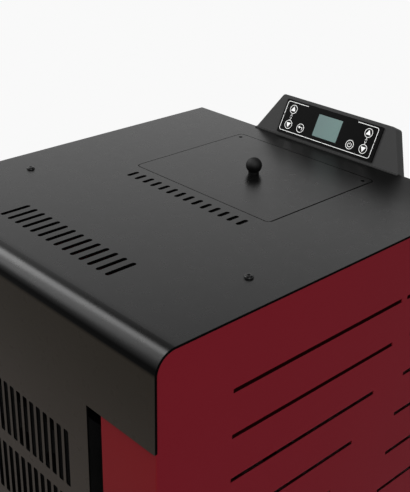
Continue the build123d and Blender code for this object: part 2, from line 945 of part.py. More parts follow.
with BuildPart() as console_back:
    with BuildSketch(console_plane.offset(-console_depth - console_sheet)):
        console_outline(0)
    extrude(amount=console_sheet)
    with BuildSketch(facing_right(-half_width)):
        span(
            console_foot_y - console_depth,
            back_y + console_sheet,
            top_height - 2 * rear_flange,
            top_height + console_sheet,
        )
    extrude(amount=body_width, mode=Mode.SUBTRACT)
save(console_back, "console_back")

with BuildPart() as keypad_plate:
    with BuildSketch(console_plane):
        with Locations((keypad_shift, (pad_low + pad_high) / 2)):
            RectangleRounded(keypad_width, keypad_height, keypad_corner)
        with Locations((graphic_shift, window_mid)):
            Rectangle(window_width, window_height, mode=Mode.SUBTRACT)
        with Locations(*key_places.values()):
            Circle(key_radius + key_gap, mode=Mode.SUBTRACT)
    extrude(amount=keypad_thickness)
save(keypad_plate, "keypad_plate")

with BuildPart() as display_window:
    with BuildSketch(console_plane.offset(key_gap)):
        with Locations((graphic_shift, window_mid)):
            Rectangle(window_width - 2 * running_clearance, window_height - 2 * running_clearance)
    extrude(amount=keypad_thickness - 2 * key_gap)
save(display_window, "display_window")

for key_name, key_place in key_places.items():
    with BuildPart() as key:
        with BuildSketch(console_plane.offset(-key_gap - key_collar)):
            with Locations(key_place):
                Circle(key_radius + key_collar)
        extrude(amount=key_collar)
        with BuildSketch(console_plane.offset(-key_gap)):
            with Locations(key_place):
                Circle(key_radius)
        extrude(amount=keypad_thickness + 2 * key_gap)
        chamfer(key.faces().sort_by(Axis.Z)[-1].edges(), key_gap)
    save(key, key_name)

board_top = -key_gap - key_collar - key_travel - key_gap
with BuildPart() as display_board:
    with BuildSketch(console_plane.offset(board_top - board_thickness)):
        with Locations((keypad_shift, (pad_low + pad_high) / 2)):
            Rectangle(keypad_width - keypad_rim, keypad_height - 2 * board_inset)
    extrude(amount=board_thickness)
    with BuildSketch(console_plane.offset(board_top)):
        with Locations((graphic_shift, window_mid)):
            Rectangle(window_width, window_height)
    extrude(amount=-board_top - key_gap)
    # Chips and the ribbon socket on the back.
    with BuildSketch(console_plane.offset(board_top - board_thickness - chip_height)):
        with Locations((graphic_shift, window_mid)):
            Rectangle(*chip_sizes)
        with Locations((graphic_shift + key_inner, window_mid)):
            Rectangle(*ribbon_socket)
    extrude(amount=chip_height)
save(display_board, "display_board")

# ---------------------------------------------------------------- hopper
hopper_front_y = lid_front_y - hopper_front_gap
hopper_rear_y = lid_rear_y + hopper_rear_gap
hopper_mid_y = (hopper_front_y + hopper_rear_y) / 2
hopper_depth = hopper_rear_y - hopper_front_y
hopper_taper_z = cover_under - hopper_straight
neck_front_y = back_y - neck_rear - neck_length
neck_mid_y = neck_front_y + neck_length / 2
auger_low_y = back_y - auger_rear
tilt = radians(auger_tilt)
auger_plane = Plane(origin=(0, auger_low_y, auger_low), x_dir=(1, 0, 0), z_dir=(0, -cos(tilt), sin(tilt)))

with BuildPart() as hopper:
    with BuildSketch(level(cover_under)):
        with Locations((0, hopper_mid_y)):
            Rectangle(hopper_width, hopper_depth)
    extrude(amount=-hopper_straight)
    with BuildSketch(level(hopper_taper_z)):
        with Locations((0, hopper_mid_y)):
            Rectangle(hopper_width, hopper_depth)
    with BuildSketch(level(hopper_neck_top)):
        with Locations((0, neck_mid_y)):
            Rectangle(neck_width, neck_length)
    loft()
    with BuildSketch(level(hopper_neck_top)):
        with Locations((0, neck_mid_y)):
            Rectangle(neck_width, neck_length)
    extrude(amount=auger_low - hopper_neck_top)
    # The inside, one sheet smaller all round.
    with BuildSketch(level(cover_under)):
        with Locations((0, hopper_mid_y)):
            Rectangle(hopper_width - 2 * hopper_sheet, hopper_depth - 2 * hopper_sheet)
    extrude(amount=-hopper_straight, mode=Mode.SUBTRACT)
    with BuildSketch(level(hopper_taper_z)):
        with Locations((0, hopper_mid_y)):
            Rectangle(hopper_width - 2 * hopper_sheet, hopper_depth - 2 * hopper_sheet)
    with BuildSketch(level(hopper_neck_top)):
        with Locations((0, neck_mid_y)):
            Rectangle(neck_width - 2 * hopper_sheet, neck_length - 2 * hopper_sheet)
    loft(mode=Mode.SUBTRACT)
    with BuildSketch(level(hopper_neck_top)):
        with Locations((0, neck_mid_y)):
            Rectangle(neck_width - 2 * hopper_sheet, neck_length - 2 * hopper_sheet)
    extrude(amount=auger_low - hopper_neck_top, mode=Mode.SUBTRACT)
    with BuildSketch(level(cover_under - hopper_sheet)):
        with Locations((0, hopper_mid_y)):
            Rectangle(hopper_width + 2 * hopper_flange, hopper_depth + hopper_flange)
            Rectangle(hopper_width - hopper_sheet, hopper_depth - hopper_sheet, mode=Mode.SUBTRACT)
    extrude(amount=hopper_sheet)
    # The neck is cut to sit on the auger tube.
    with BuildSketch(auger_plane.offset(-auger_length)):
        Circle(auger_tube_radius + running_clearance)
    extrude(amount=3 * auger_length, mode=Mode.SUBTRACT)
    with BuildSketch(auger_plane.offset(-auger_length)):
        with Locations((0, -3 * auger_tube_radius)):
            Rectangle(4 * auger_tube_radius, 6 * auger_tube_radius)
    extrude(amount=3 * auger_length, mode=Mode.SUBTRACT)
save(hopper, "hopper")

# ---------------------------------------------------------------- auger
bore_radius = auger_tube_radius - auger_tube_wall
outlet_s = auger_length - chute_from_top
chute_angle = radians(chute_lean)
outlet_y = auger_low_y - outlet_s * cos(tilt)
outlet_z = auger_low + outlet_s * sin(tilt)
chute_plane = Plane(
    origin=(0, outlet_y, outlet_z),
    x_dir=(1, 0, 0),
    z_dir=(0, -sin(chute_angle), -cos(chute_angle)),
)
chute_tip_drop = fire_wall + back_plate_thickness + 2 * back_plate_rib
chute_length = (outlet_y - fire_back_y + chute_tip_drop) / sin(chute_angle)

with BuildPart() as auger_tube:
    with BuildSketch(auger_plane):
        Circle(auger_tube_radius)
    extrude(amount=auger_length)
    with BuildSketch(chute_plane):
        Circle(chute_radius)
    extrude(amount=chute_length)
    with BuildSketch(chute_plane):
        Circle(chute_radius - chute_wall)
    extrude(amount=chute_length, mode=Mode.SUBTRACT)
    with BuildSketch(auger_plane.offset(auger_cap)):
        Circle(bore_radius)
    extrude(amount=auger_length - 2 * auger_cap, mode=Mode.SUBTRACT)
    # The window under the hopper's neck.
    with BuildSketch(level(hopper_neck_top)):
        with Locations((0, neck_mid_y)):
            Rectangle(neck_width - 2 * hopper_sheet, neck_length - 2 * hopper_sheet)
    extrude(amount=auger_low - hopper_neck_top, mode=Mode.SUBTRACT)
    with BuildSketch(auger_plane):
        Circle(bush_radius + running_clearance)
    extrude(amount=auger_length, mode=Mode.SUBTRACT)
    # Flange for the gearmotor.
    with BuildSketch(auger_plane):
        RectangleRounded(gearbox_width, gearbox_height + 2 * auger_flange_rim, gearbox_corner)
        Circle(bush_radius + running_clearance, mode=Mode.SUBTRACT)
    extrude(amount=auger_cap / 2)
save(auger_tube, "auger_tube")

with BuildPart() as auger_bushes:
    for bush_start in (0.0, auger_length - auger_cap):
        with BuildSketch(auger_plane.offset(bush_start)):
            Circle(bush_radius)
            Circle(shaft_radius + running_clearance, mode=Mode.SUBTRACT)
        extrude(amount=auger_cap)
save(auger_bushes, "auger_bushes")

# The feed screw: one helical flight round a shaft that reaches into the gearmotor.
flight_start = auger_cap + flight_thickness
flight_length = auger_length - 2 * auger_cap - 3 * flight_thickness
with BuildPart() as auger_screw:
    with BuildSketch(auger_plane.offset(-shaft_in_gearbox)):
        Circle(shaft_radius)
    extrude(amount=auger_length + shaft_in_gearbox)
    flight_base = auger_plane.offset(flight_start).origin
    with BuildLine() as flight_path:
        Helix(
            pitch=flight_pitch,
            height=flight_length,
            radius=shaft_radius,
            center=flight_base,
            direction=auger_plane.z_dir,
        )
    flight_first = flight_path.line @ 0
    flight_plane = Plane(
        origin=flight_first,
        x_dir=flight_first - flight_base,
        z_dir=flight_path.line % 0,
    )
    with BuildSketch(flight_plane):
        span(-flight_root, flight_radius - shaft_radius, -flight_thickness / 2, flight_thickness / 2)
    sweep(path=flight_path.line, is_frenet=True)
save(auger_screw, "auger_screw")

with BuildPart() as auger_gearmotor:
    with BuildSketch(auger_plane):
        RectangleRounded(gearbox_width, gearbox_height, gearbox_corner)
    extrude(amount=-gearbox_length)
    fillet(auger_gearmotor.faces().sort_by(Axis.Z)[0].edges(), gearbox_corner / 2)
    with BuildSketch(auger_plane.offset(-gearbox_length)):
        Circle(motor_radius)
    extrude(amount=-motor_length)
    with BuildSketch(auger_plane.offset(-gearbox_length - motor_length)):
        Circle(motor_cap_radius)
    extrude(amount=-motor_cap_height)
    with BuildSketch(auger_plane):
        Circle(shaft_radius + running_clearance)
    extrude(amount=-shaft_in_gearbox - 2 * loose_clearance, mode=Mode.SUBTRACT)
save(auger_gearmotor, "auger_gearmotor")

# ---------------------------------------------------------------- firebox
cradle_front_y = fire_front_y + cradle_front_room
cradle_back_y = fire_back_y - cradle_rear_room
cradle_length = cradle_back_y - cradle_front_y
pot_mid_y = (cradle_front_y + cradle_back_y) / 2
pot_length = cradle_length - 2 * cradle_margin
pot_foot_length = pot_length * pot_foot_length_share
pot_hole_columns = int((pot_foot_width - 2 * pot_wall) / pot_hole_pitch)
pot_hole_rows = int((pot_foot_length - 2 * pot_wall) / pot_hole_pitch)
igniter_hole = igniter_radius + loose_clearance
intake_hole = intake_radius + loose_clearance
duct_low_x = -duct_inner_side - duct_width
duct_high_x = -duct_inner_side
duct_high_z = fire_top + outlet_height
outlet_low_x = duct_low_x + duct_sheet
outlet_high_x = duct_high_x - duct_sheet
fire_inner = fire_width / 2 - fire_wall
hinge_arm_inner = return_inner - 3.0
hinge_arm_outer = tongue_width / 2 + 2.0
door_knuckle_heights = (door_low + door_knuckle_inset, door_high - door_knuckle_inset)
runner_top = drawer_box_low - loose_clearance
runner_width = fire_inner - drawer_box_width / 2 + runner_overlap
lug_top = baffle_low - 2 * running_clearance

with BuildPart() as firebox:
    with BuildSketch(level(base_top)):
        span(-fire_width / 2, fire_width / 2, fire_front_y, fire_back_y)
        span(-fire_inner, fire_inner, fire_front_y, fire_back_y - fire_wall, mode=Mode.SUBTRACT)
    extrude(amount=fire_top - base_top)
    # Floor with ash slots on both sides of the pot.
    with BuildSketch(level(fire_floor - fire_wall)):
        span(-fire_inner, fire_inner, fire_front_y, fire_back_y - fire_wall)
        with Locations((0, pot_mid_y)):
            with GridLocations(2 * ash_slot_side, ash_slot_pitch, 2, ash_slot_rows):
                SlotOverall(ash_slot_length, ash_slot_width, mode=Mode.SUBTRACT)
            Rectangle(pot_foot_width, pot_foot_length - 2 * pot_foot_corner, mode=Mode.SUBTRACT)
    extrude(amount=fire_wall)
    # Front flange with the fire mouth and the ash drawer's mouth.
    with BuildSketch(facing_front(fire_front_y + fire_wall)):
        span(-fire_flange_width / 2, fire_flange_width / 2, base_top, fire_top)
        span(
            -fire_mouth_width / 2,
            fire_mouth_width / 2,
            fire_mouth_low,
            fire_mouth_low + fire_mouth_height,
            fire_mouth_corner,
            mode=Mode.SUBTRACT,
        )
        span(
            -drawer_mouth_width / 2,
            drawer_mouth_width / 2,
            drawer_mouth_low,
            drawer_mouth_low + drawer_mouth_height,
            mode=Mode.SUBTRACT,
        )
    extrude(amount=fire_wall)
    # Angle runners for the drawer and lugs for the baffle.
    for side in (-1, 1):
        runner_x = side * (fire_inner - runner_width / 2)
        with BuildSketch(facing_right(runner_x - runner_width / 2)):
            span(fire_front_y + fire_wall, fire_back_y - fire_wall, runner_top - runner_sheet, runner_top)
            for lug_y in (fire_front_y + lug_inset, fire_back_y - lug_inset - lug_length):
                span(lug_y, lug_y + lug_length, lug_top - lug_height, lug_top)
        extrude(amount=runner_width)
    # Holes in the back wall: chute, air pipe, igniter.
    with BuildSketch(chute_plane):
        Circle(chute_radius + loose_clearance)
    extrude(amount=2 * chute_length, mode=Mode.SUBTRACT)
    with BuildSketch(facing_front(fire_back_y)):
        with Locations((0, intake_height)):
            Circle(intake_hole)
        with Locations((igniter_side, igniter_height)):
            Circle(igniter_hole)
    extrude(amount=fire_wall, mode=Mode.SUBTRACT)
    # Hinge arms reach forward through the gap beside the door.
    arm_heights = []
    for knuckle_z in door_knuckle_heights:
        arm_heights.append(knuckle_z - door_knuckle_length / 2 - loose_clearance - door_bracket_sheet)
        arm_heights.append(knuckle_z + door_knuckle_length / 2 + loose_clearance)
    for arm_z in arm_heights:
        with BuildSketch(level(arm_z)):
            span(-hinge_arm_inner, -hinge_arm_outer, front_y + hinge_arm_setback, fire_front_y)
            with Locations((-door_hinge_side, front_y + door_hinge_depth)):
                Circle(door_pin_radius + running_clearance, mode=Mode.SUBTRACT)
        extrude(amount=door_bracket_sheet)
    # Keeper for the door's latch: a hook standing off the flange.
    keeper_y = door_back_y + keeper_overlap
    keeper_inner = hinge_arm_inner - 2 * latch_sheet
    with BuildSketch(level(spindle_height - latch_height)):
        span(keeper_inner, hinge_arm_inner, keeper_y - latch_sheet, fire_front_y)
        span(hinge_arm_outer, hinge_arm_inner - latch_sheet, keeper_y, fire_front_y, mode=Mode.SUBTRACT)
        span(hinge_arm_outer + keeper_overlap, hinge_arm_inner, keeper_y - latch_sheet, keeper_y)
    extrude(amount=2 * latch_height)
save(firebox, "firebox")

with BuildPart() as heat_exchanger:
    exchanger_top = fire_top + exchanger_height
    exchanger_mid = (fire_top + exchanger_top) / 2 + tube_bank_lift
    with BuildSketch(level(fire_top)):
        span(-fire_width / 2, fire_width / 2, fire_front_y, fire_back_y)
        span(-fire_inner, fire_inner, fire_front_y + fire_wall, fire_back_y - fire_wall, mode=Mode.SUBTRACT)
    extrude(amount=exchanger_height)
    with BuildSketch(level(exchanger_top - fire_wall)):
        span(-fire_width / 2, fire_width / 2, fire_front_y, fire_back_y)
    extrude(amount=fire_wall)
    with BuildSketch(facing_front(fire_back_y)):
        with Locations((0, exchanger_mid)):
            with GridLocations(exchanger_pitch_x, exchanger_pitch_z, exchanger_columns, exchanger_rows):
                Circle(exchanger_tube_radius)
    extrude(amount=fire_depth)
    with BuildSketch(facing_front(fire_back_y)):
        with Locations((0, exchanger_mid)):
            with GridLocations(exchanger_pitch_x, exchanger_pitch_z, exchanger_columns, exchanger_rows):
                Circle(exchanger_tube_radius - exchanger_tube_wall)
    extrude(amount=fire_depth, mode=Mode.SUBTRACT)
    # Smoke outlet into the duct.
    with BuildSketch(facing_front(fire_back_y)):
        span(outlet_low_x, outlet_high_x, fire_top + outlet_margin, duct_high_z - outlet_margin)
    extrude(amount=fire_wall, mode=Mode.SUBTRACT)
save(heat_exchanger, "heat_exchanger")

back_plate_y = fire_back_y - fire_wall
with BuildPart() as fire_back_plate:
    with BuildSketch(facing_front(back_plate_y)):
        span(
            -fire_inner + back_plate_gap,
            fire_inner - back_plate_gap,
            fire_floor + loose_clearance,
            baffle_low - back_plate_top_gap,
        )
    extrude(amount=back_plate_thickness)
    with BuildSketch(facing_front(back_plate_y - back_plate_thickness)):
        with Locations((0, (fire_floor + baffle_low) / 2)):
            with GridLocations(rib_pitch, 1, rib_count, 1):
                RectangleRounded(rib_width, baffle_low - fire_floor - 2 * rib_end_gap, rib_corner)
    extrude(amount=back_plate_rib, taper=rib_taper)
    with BuildSketch(chute_plane):
        Circle(chute_radius + loose_clearance)
    extrude(amount=2 * chute_length, mode=Mode.SUBTRACT)
    with BuildSketch(facing_front(back_plate_y)):
        with Locations((0, intake_height)):
            Circle(intake_hole)
        with Locations((igniter_side, igniter_height)):
            Circle(igniter_hole)
    extrude(amount=back_plate_thickness + back_plate_rib, mode=Mode.SUBTRACT)
save(fire_back_plate, "fire_back_plate")

with BuildPart() as baffle:
    with BuildSketch(level(baffle_low)):
        span(
            -fire_inner + back_plate_gap,
            fire_inner - back_plate_gap,
            fire_front_y + fire_wall + baffle_front_gap,
            fire_back_y - fire_wall - back_plate_gap,
        )
    extrude(amount=baffle_thickness)
    fillet(baffle.edges().filter_by(Axis.X), baffle_edge)
save(baffle, "baffle")

cradle_top = pot_rim_height - pot_rim
cradle_width = pot_width + 2 * cradle_margin
with BuildPart() as pot_cradle:
    with BuildSketch(level(fire_floor)):
        with Locations((0, pot_mid_y)):
            RectangleRounded(cradle_width, cradle_length, cradle_corner)
    extrude(amount=cradle_top - fire_floor)
    with BuildSketch(level(fire_floor)):
        with Locations((0, pot_mid_y)):
            Rectangle(cradle_width - 2 * cradle_wall, cradle_length - 2 * cradle_wall)
    extrude(amount=cradle_top - fire_floor - cradle_wall, mode=Mode.SUBTRACT)
    with BuildSketch(level(cradle_top)):
        with Locations((0, pot_mid_y)):
            RectangleRounded(pot_width + 2 * pot_play, pot_length + 2 * pot_play, pot_corner)
    extrude(amount=-cradle_wall, mode=Mode.SUBTRACT)
    with BuildSketch(facing_front(cradle_back_y)):
        with Locations((0, intake_height)):
            Circle(intake_hole)
        with Locations((igniter_side, igniter_height)):
            Circle(igniter_hole)
    extrude(amount=cradle_wall, mode=Mode.SUBTRACT)
save(pot_cradle, "pot_cradle")

pot_low = pot_rim_height - pot_depth
with BuildPart() as burn_pot:
    with BuildSketch(level(pot_low)):
        with Locations((0, pot_mid_y)):
            RectangleRounded(pot_foot_width, pot_foot_length, pot_foot_corner)
    with BuildSketch(level(pot_rim_height)):
        with Locations((0, pot_mid_y)):
            RectangleRounded(pot_width, pot_length, pot_corner)
    loft()
    with BuildSketch(level(cradle_top)):
        with Locations((0, pot_mid_y)):
            RectangleRounded(pot_width + 2 * pot_rim, pot_length + 2 * pot_rim, pot_corner)
    extrude(amount=pot_rim)
    with BuildSketch(level(pot_low + pot_wall)):
        with Locations((0, pot_mid_y)):
            RectangleRounded(
                pot_foot_width - 2 * pot_wall,
                pot_foot_length - 2 * pot_wall,
                pot_foot_corner - pot_wall / 2,
            )
    with BuildSketch(level(pot_rim_height)):
        with Locations((0, pot_mid_y)):
            RectangleRounded(
                pot_width - 2 * pot_wall,
                pot_length - 2 * pot_wall,
                pot_corner - pot_wall / 2,
            )
    loft(mode=Mode.SUBTRACT)
    # Primary air holes in the floor.
    with BuildSketch(level(pot_low)):
        with Locations((0, pot_mid_y)):
            with GridLocations(pot_hole_pitch, pot_hole_pitch, pot_hole_columns, pot_hole_rows):
                Circle(pot_hole_radius)
    extrude(amount=pot_wall, mode=Mode.SUBTRACT)
save(burn_pot, "burn_pot")

igniter_tip_y = pot_mid_y + pot_length / 2 + igniter_tip_gap
with BuildPart() as igniter:
    with BuildSketch(facing_front(fire_back_y + igniter_tail)):
        with Locations((igniter_side, igniter_height)):
            Circle(igniter_radius)
    extrude(amount=fire_back_y + igniter_tail - igniter_tip_y)
    with BuildSketch(facing_front(fire_back_y + igniter_nut_length)):
        with Locations((igniter_side, igniter_height)):
            RegularPolygon(igniter_nut_radius, 6)
    extrude(amount=igniter_nut_length)
save(igniter, "igniter")

with BuildPart() as air_intake_pipe:
    for end_y, start_y, radius in (
        (back_y + pipe_step_gap, cradle_back_y - cradle_wall, intake_radius - pipe_step),
        (back_y + intake_reach, back_y + pipe_step_gap, intake_radius),
    ):
        with BuildSketch(facing_front(end_y)):
            with Locations((0, intake_height)):
                Circle(radius)
                Circle(intake_radius - intake_wall, mode=Mode.SUBTRACT)
        extrude(amount=end_y - start_y)
save(air_intake_pipe, "air_intake_pipe")

# ---------------------------------------------------------------- fire door
door_half = tongue_width / 2
window_half = door_half - window_margin
window_low = door_low + window_margin
window_high = door_high - window_margin
glass_half = window_half + glass_overlap
glass_low = window_low - glass_overlap
glass_high = window_high + glass_overlap
glass_y = front_y + glass_depth
glass_back_y = glass_y + glass_thickness

with BuildPart() as fire_door:
    with BuildSketch(facing_front(door_back_y)):
        span(-door_half, door_half, door_low, door_high)
        span(-window_half, window_half, window_low, window_high, window_corner, mode=Mode.SUBTRACT)
    extrude(amount=door_thickness)
    front_rim = fire_door.faces().sort_by(Axis.Y)[0].outer_wire().edges()
    window_rim = fire_door.faces().sort_by(Axis.Y)[0].inner_wires()[0].edges()
    chamfer(window_rim, window_bevel_depth, window_bevel_width)
    fillet(front_rim, door_edge)
    # Rebate for the glass, open to the back.
    with BuildSketch(facing_front(door_back_y)):
        span(
            -glass_half - loose_clearance,
            glass_half + loose_clearance,
            glass_low - loose_clearance,
            glass_high + loose_clearance,
        )
    extrude(amount=door_thickness - glass_depth, mode=Mode.SUBTRACT)
    # Hinge knuckles on the left edge.
    for knuckle_z in door_knuckle_heights:
        with BuildSketch(level(knuckle_z - door_knuckle_length / 2)):
            with Locations((-door_hinge_side, front_y + door_hinge_depth)):
                Circle(door_knuckle_radius)
            span(
                -door_hinge_side,
                -door_half,
                front_y + door_edge,
                front_y + door_hinge_depth + door_knuckle_radius,
            )
            with Locations((-door_hinge_side, front_y + door_hinge_depth)):
                Circle(door_pin_radius + running_clearance, mode=Mode.SUBTRACT)
        extrude(amount=door_knuckle_length)
    with BuildSketch(facing_front(door_back_y)):
        with Locations((spindle_side, spindle_height)):
            Circle(spindle_radius + running_clearance)
    extrude(amount=door_thickness, mode=Mode.SUBTRACT)
save(fire_door, "fire_door")

with BuildPart() as door_glass:
    with BuildSketch(facing_front(glass_back_y)):
        span(-glass_half, glass_half, glass_low, glass_high, glass_corner)
    extrude(amount=glass_thickness - running_clearance)
save(door_glass, "door_glass")

clip_heights = (door_low + 0.25 * (door_high - door_low), door_low + 0.75 * (door_high - door_low))
with BuildPart() as glass_clips:
    for side in (-1, 1):
        clip_near = side * (glass_half - clip_bite)
        clip_face = side * (glass_half + loose_clearance)
        clip_wall = clip_face - side * clip_sheet
        clip_far = side * (glass_half + clip_foot)
        for clip_z in clip_heights:
            with BuildSketch(level(clip_z - clip_width / 2)):
                Polygon(
                    (clip_near, glass_back_y),
                    (clip_face, glass_back_y),
                    (clip_face, door_back_y),
                    (clip_far, door_back_y),
                    (clip_far, door_back_y + clip_sheet),
                    (clip_wall, door_back_y + clip_sheet),
                    (clip_wall, glass_back_y + clip_sheet),
                    (clip_near, glass_back_y + clip_sheet),
                    align=None,
                )
            extrude(amount=clip_width)
save(glass_clips, "glass_clips")

rope_gap = (fire_setback - door_thickness - rope_section) / 2
rope_half = door_half - rope_inset + rope_section / 2
rope_low = door_low + rope_inset - rope_section / 2
rope_high = door_high - rope_inset + rope_section / 2
with BuildPart() as door_seal:
    with BuildSketch(facing_front(fire_front_y - rope_gap)):
        span(-rope_half, rope_half, rope_low, rope_high, rope_corner)
        span(
            -rope_half + rope_section,
            rope_half - rope_section,
            rope_low + rope_section,
            rope_high - rope_section,
            rope_corner - rope_section,
            mode=Mode.SUBTRACT,
        )
    extrude(amount=rope_section)
    fillet(door_seal.edges().filter_by(Axis.Y, reverse=True), rope_edge)
save(door_seal, "door_seal")

with BuildPart() as door_hinge_pins:
    for knuckle_z in door_knuckle_heights:
        pin_half = door_knuckle_length / 2 + loose_clearance + door_bracket_sheet
        with BuildSketch(level(knuckle_z - pin_half - pin_tail)):
            with Locations((-door_hinge_side, front_y + door_hinge_depth)):
                Circle(door_pin_radius)
        extrude(amount=2 * pin_half + pin_tail)
        with BuildSketch(level(knuckle_z + pin_half)):
            with Locations((-door_hinge_side, front_y + door_hinge_depth)):
                Circle(pin_head_radius)
        extrude(amount=pin_head_height)
save(door_hinge_pins, "door_hinge_pins")

# Lever handle: a round lever hangs from a spindle that turns the latch behind the door.
lever_y = front_y - handle_reach + lever_radius
latch_y = keeper_y + keeper_play
with BuildPart() as door_handle:
    with BuildSketch(facing_front(latch_y + latch_sheet)):
        with Locations((spindle_side, spindle_height)):
            Circle(spindle_radius)
    extrude(amount=latch_y + latch_sheet - lever_y)
    with BuildSketch(facing_front(front_y - loose_clearance)):
        with Locations((spindle_side, spindle_height)):
            Circle(hub_radius)
    extrude(amount=hub_length)
    with BuildSketch(level(spindle_height - lever_length)):
        with Locations((spindle_side, lever_y)):
            Circle(lever_radius)
    extrude(amount=lever_length + lever_radius)
    fillet(door_handle.edges().group_by(Axis.Z)[0], lever_end)
    fillet(door_handle.edges().group_by(Axis.Z)[-1], lever_end)
    with BuildSketch(facing_front(latch_y + latch_sheet)):
        span(
            spindle_side - latch_height / 2,
            spindle_side + latch_reach,
            spindle_height - latch_height / 2,
            spindle_height + latch_height / 2,
            latch_sheet,
        )
    extrude(amount=latch_sheet)
save(door_handle, "door_handle")

# ---------------------------------------------------------------- ash drawer
drawer_high = door_low - drawer_front_gap
drawer_rear_y = fire_back_y - fire_wall - drawer_rear_gap
with BuildPart() as ash_drawer:
    with BuildSketch(facing_front(front_y + drawer_front_depth)):
        span(-door_half, door_half, drawer_low, drawer_high)
    extrude(amount=drawer_front_depth)
    # The front is a shallow pan, open to the back.
    with BuildSketch(facing_front(front_y + drawer_front_depth)):
        span(
            -door_half + drawer_sheet,
            door_half - drawer_sheet,
            drawer_low + drawer_sheet,
            drawer_high - drawer_sheet,
        )
    extrude(amount=drawer_front_depth - drawer_sheet, mode=Mode.SUBTRACT)
    with BuildSketch(level(drawer_box_low)):
        box_half = drawer_box_width / 2
        span(-box_half, box_half, front_y + drawer_sheet, drawer_rear_y, drawer_box_corner)
    extrude(amount=drawer_box_height)
    with BuildSketch(level(drawer_box_low + drawer_sheet)):
        span(
            -drawer_box_width / 2 + drawer_sheet,
            drawer_box_width / 2 - drawer_sheet,
            front_y + 2 * drawer_sheet,
            drawer_rear_y - drawer_sheet,
            drawer_box_corner - drawer_sheet,
        )
    extrude(amount=drawer_box_height, mode=Mode.SUBTRACT)
    # Folded pull along the middle of the front.
    with BuildSketch(facing_right(-drawer_pull_width / 2)):
        pull_z = drawer_high - drawer_pull_drop
        pull_y = front_y - drawer_pull_reach
        span(pull_y, front_y, pull_z, pull_z + drawer_sheet)
        span(pull_y, pull_y + drawer_sheet, pull_z - drawer_pull_fold, pull_z + drawer_sheet)
    extrude(amount=drawer_pull_width)
save(ash_drawer, "ash_drawer")

# ---------------------------------------------------------------- smoke path
duct_front_y = fire_back_y
duct_foot_rear_y = duct_front_y + duct_foot_length
fan_x_high = duct_low_x
fan_x_low = fan_x_high - scroll_width
fan_motor_length = fan_x_low + chassis_half - fan_motor_side_gap
fan_shaft_in_motor = fan_motor_length * fan_motor_bore_share
scroll_out_low = fan_height + scroll_outlet_start
scroll_out_high = fan_height + scroll_radius
scroll_rear_y = fan_y + scroll_radius + scroll_rear_gap

with BuildPart() as smoke_duct:
    with BuildSketch(facing_right(duct_low_x)):
        span(duct_front_y, duct_front_y + duct_depth, duct_low, duct_high_z)
        span(duct_front_y, duct_foot_rear_y, duct_low, duct_low + duct_foot_height)
    extrude(amount=duct_width)
    with BuildSketch(facing_right(duct_low_x + duct_sheet)):
        duct_inner_y = duct_front_y + duct_sheet
        duct_inner_z = duct_low + duct_sheet
        span(duct_inner_y, duct_front_y + duct_depth - duct_sheet, duct_inner_z, duct_high_z - duct_sheet)
        foot_inner_z = duct_low + duct_foot_height - duct_sheet
        span(duct_inner_y, duct_foot_rear_y - duct_sheet, duct_inner_z, foot_inner_z)
    extrude(amount=duct_width - 2 * duct_sheet, mode=Mode.SUBTRACT)
    with BuildSketch(facing_front(duct_front_y + duct_sheet)):
        span(outlet_low_x, outlet_high_x, fire_top + outlet_margin, duct_high_z - outlet_margin)
    extrude(amount=duct_sheet, mode=Mode.SUBTRACT)
    with BuildSketch(facing_right(duct_low_x)):
        with Locations((fan_y, fan_height)):
            Circle(fan_inlet_radius)
    extrude(amount=duct_sheet, mode=Mode.SUBTRACT)
save(smoke_duct, "smoke_duct")

with BuildPart() as smoke_fan_housing:
    with BuildSketch(facing_right(fan_x_low)):
        with Locations((fan_y, fan_height)):
            Circle(scroll_radius)
        span(fan_y, scroll_rear_y, scroll_out_low - scroll_wall, scroll_out_high)
    extrude(amount=scroll_width)
    with BuildSketch(facing_right(fan_x_low + scroll_wall)):
        with Locations((fan_y, fan_height)):
            Circle(scroll_radius - scroll_wall)
        span(fan_y, scroll_rear_y, scroll_out_low, scroll_out_high - scroll_wall)
    extrude(amount=scroll_width - 2 * scroll_wall, mode=Mode.SUBTRACT)
    with BuildSketch(facing_right(fan_x_high - scroll_wall)):
        with Locations((fan_y, fan_height)):
            Circle(fan_inlet_radius)
    extrude(amount=scroll_wall, mode=Mode.SUBTRACT)
    with BuildSketch(facing_right(fan_x_low)):
        with Locations((fan_y, fan_height)):
            Circle(fan_shaft_radius + running_clearance)
    extrude(amount=scroll_wall, mode=Mode.SUBTRACT)
save(smoke_fan_housing, "smoke_fan_housing")

with BuildPart() as smoke_impeller:
    impeller_back = fan_x_low + scroll_wall + impeller_gap
    with BuildSketch(facing_right(impeller_back)):
        with Locations((fan_y, fan_height)):
            Circle(impeller_radius)
    extrude(amount=impeller_disc)
    with BuildSketch(facing_right(impeller_back)):
        with Locations((fan_y, fan_height)):
            Circle(impeller_hub_radius)
    extrude(amount=impeller_hub_length)
    with BuildSketch(facing_right(impeller_back + impeller_disc)):
        with Locations((fan_y, fan_height)):
            with PolarLocations(blade_ring_radius, impeller_blades):
                Rectangle(blade_chord, blade_thickness, rotation=blade_angle)
    extrude(amount=impeller_depth - impeller_disc)
    with BuildSketch(facing_right(fan_x_low - fan_shaft_in_motor)):
        with Locations((fan_y, fan_height)):
            Circle(fan_shaft_radius)
    extrude(amount=fan_shaft_in_motor + scroll_wall + impeller_gap + impeller_disc)
save(smoke_impeller, "smoke_impeller")

